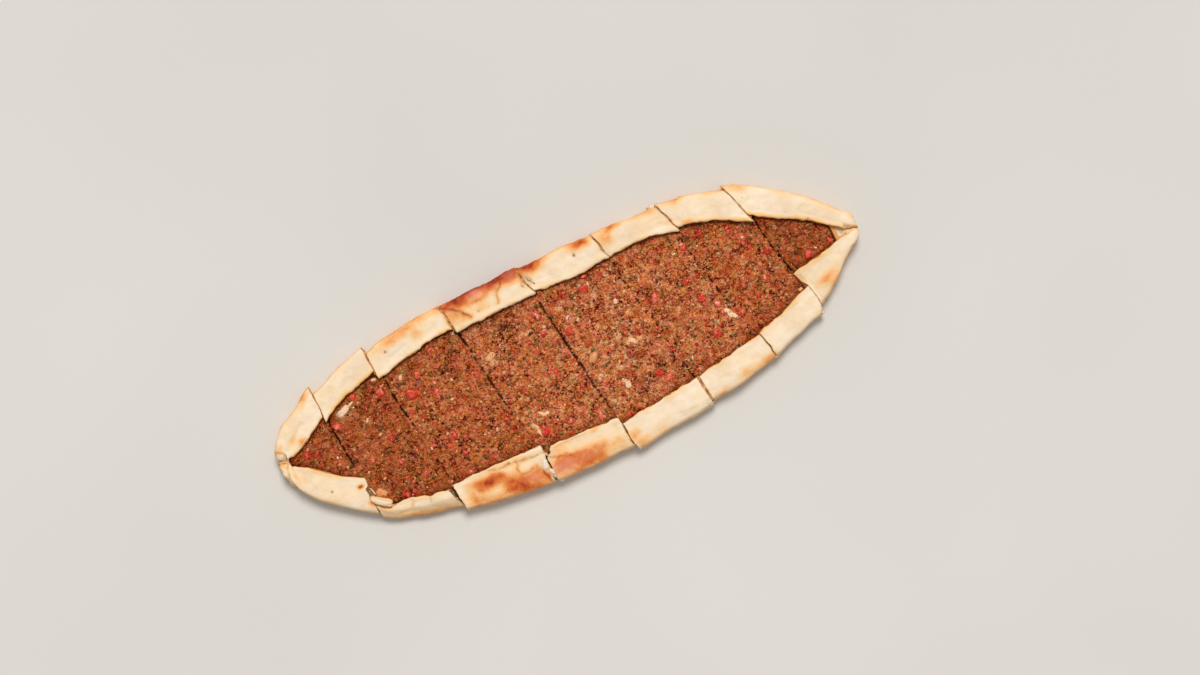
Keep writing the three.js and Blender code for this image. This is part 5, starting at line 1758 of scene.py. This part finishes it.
def bent_stalk(bow):
    """The rod's points, bent sideways by bow and a little up and down."""
    sideways, up = 0.9 * bow * rod[:, 0] ** 2, 0.5 * unevenness(rod + 3.0 * bow, 0.8, 84)
    return rod + np.stack([0 * sideways, sideways, up], -1)


bent = np.array([bent_stalk(bow) for bow in (1, -2, 3)])
stalk_x, stalk_y, stalk_length, stalk_turn = (np.array(values, float) for values in zip(*STALK_PLACES))
stalk_z = on_meat(stalk_x, stalk_y, WELL_INSIDE + 0 * stalk_x) + 0.35
herb_stalk = soft_vegetable(
    "herb_stalk",
    [(0.0, (104, 92, 44)), (0.5, (150, 134, 74)), (1.0, (188, 172, 106))],
    roughness=0.45, mottle=0.5,
)
strewn_piece(
    "herb_stalks", bent, rod_faces, np.stack([stalk_x, stalk_y, stalk_z], -1),
    np.stack([stalk_length / 2, 0.45 + 0 * stalk_x, 0.4 + 0 * stalk_x], -1), headed(stalk_turn),
    {"tint": np.linspace(0.3, 0.8, len(stalk_x)), "deep": 0 * stalk_x}, herb_stalk, thin=True,
)

# Floor, light and camera
# A plain pale floor, a wide soft lamp over the bread's far side and a pale sky, and the photograph's
# camera, which looks straight down with the bread lying askew in its frame.

FLOOR_SIZE, FLOOR_GAP = 6, 0.0002

bpy.ops.object.select_all(action="DESELECT")
bpy.ops.mesh.primitive_plane_add(size=FLOOR_SIZE, location=(0, 0, -FLOOR_GAP))
floor = bpy.context.object
floor.name = "floor"
floor_finish = Finish("pale_floor", roughness=0.8, specular=0.2)
floor_colour = floor_finish.ramp(floor_finish.grain(0.4), (0.3, (214, 211, 206)), (0.7, (220, 217, 212)))
floor_finish.feed("Base Color", floor_colour)
floor.data.materials.append(floor_finish.material)

lamp = bpy.data.lights.new("soft_lamp", "SUN")
lamp.energy = 2.3
lamp.angle = math.radians(24)
lamp.color = (1.0, 0.975, 0.94)
lamp_holder = bpy.data.objects.new("soft_lamp", lamp)
bpy.context.collection.objects.link(lamp_holder)
lamp_holder.location = (0.28, 0.66, 1.15)
lamp_holder.rotation_euler = lamp_holder.location.to_track_quat("Z", "Y").to_euler()

sky = bpy.data.worlds.new("pale_sky")
sky.use_nodes = True
sky.node_tree.nodes["Background"].inputs["Color"].default_value = (1.0, 0.985, 0.96, 1)
sky.node_tree.nodes["Background"].inputs["Strength"].default_value = 0.42
bpy.context.scene.world = sky
bpy.context.scene.view_settings.view_transform = "Standard"

PHOTO_WIDTH = 0.8593
PHOTO_MIDDLE = (0.02342, 0.00458)
PHOTO_TURN = -21.67
FOCUS_HEIGHT = 0.010
camera = bpy.data.cameras.new("camera")
camera.lens, camera.sensor_width = 85, 36
camera.clip_end = 10
camera_holder = bpy.data.objects.new("camera", camera)
bpy.context.collection.objects.link(camera_holder)
camera_holder.location = (*PHOTO_MIDDLE, FOCUS_HEIGHT + PHOTO_WIDTH * camera.lens / camera.sensor_width)
camera_holder.rotation_euler = (0, 0, math.radians(PHOTO_TURN))
bpy.context.scene.camera = camera_holder
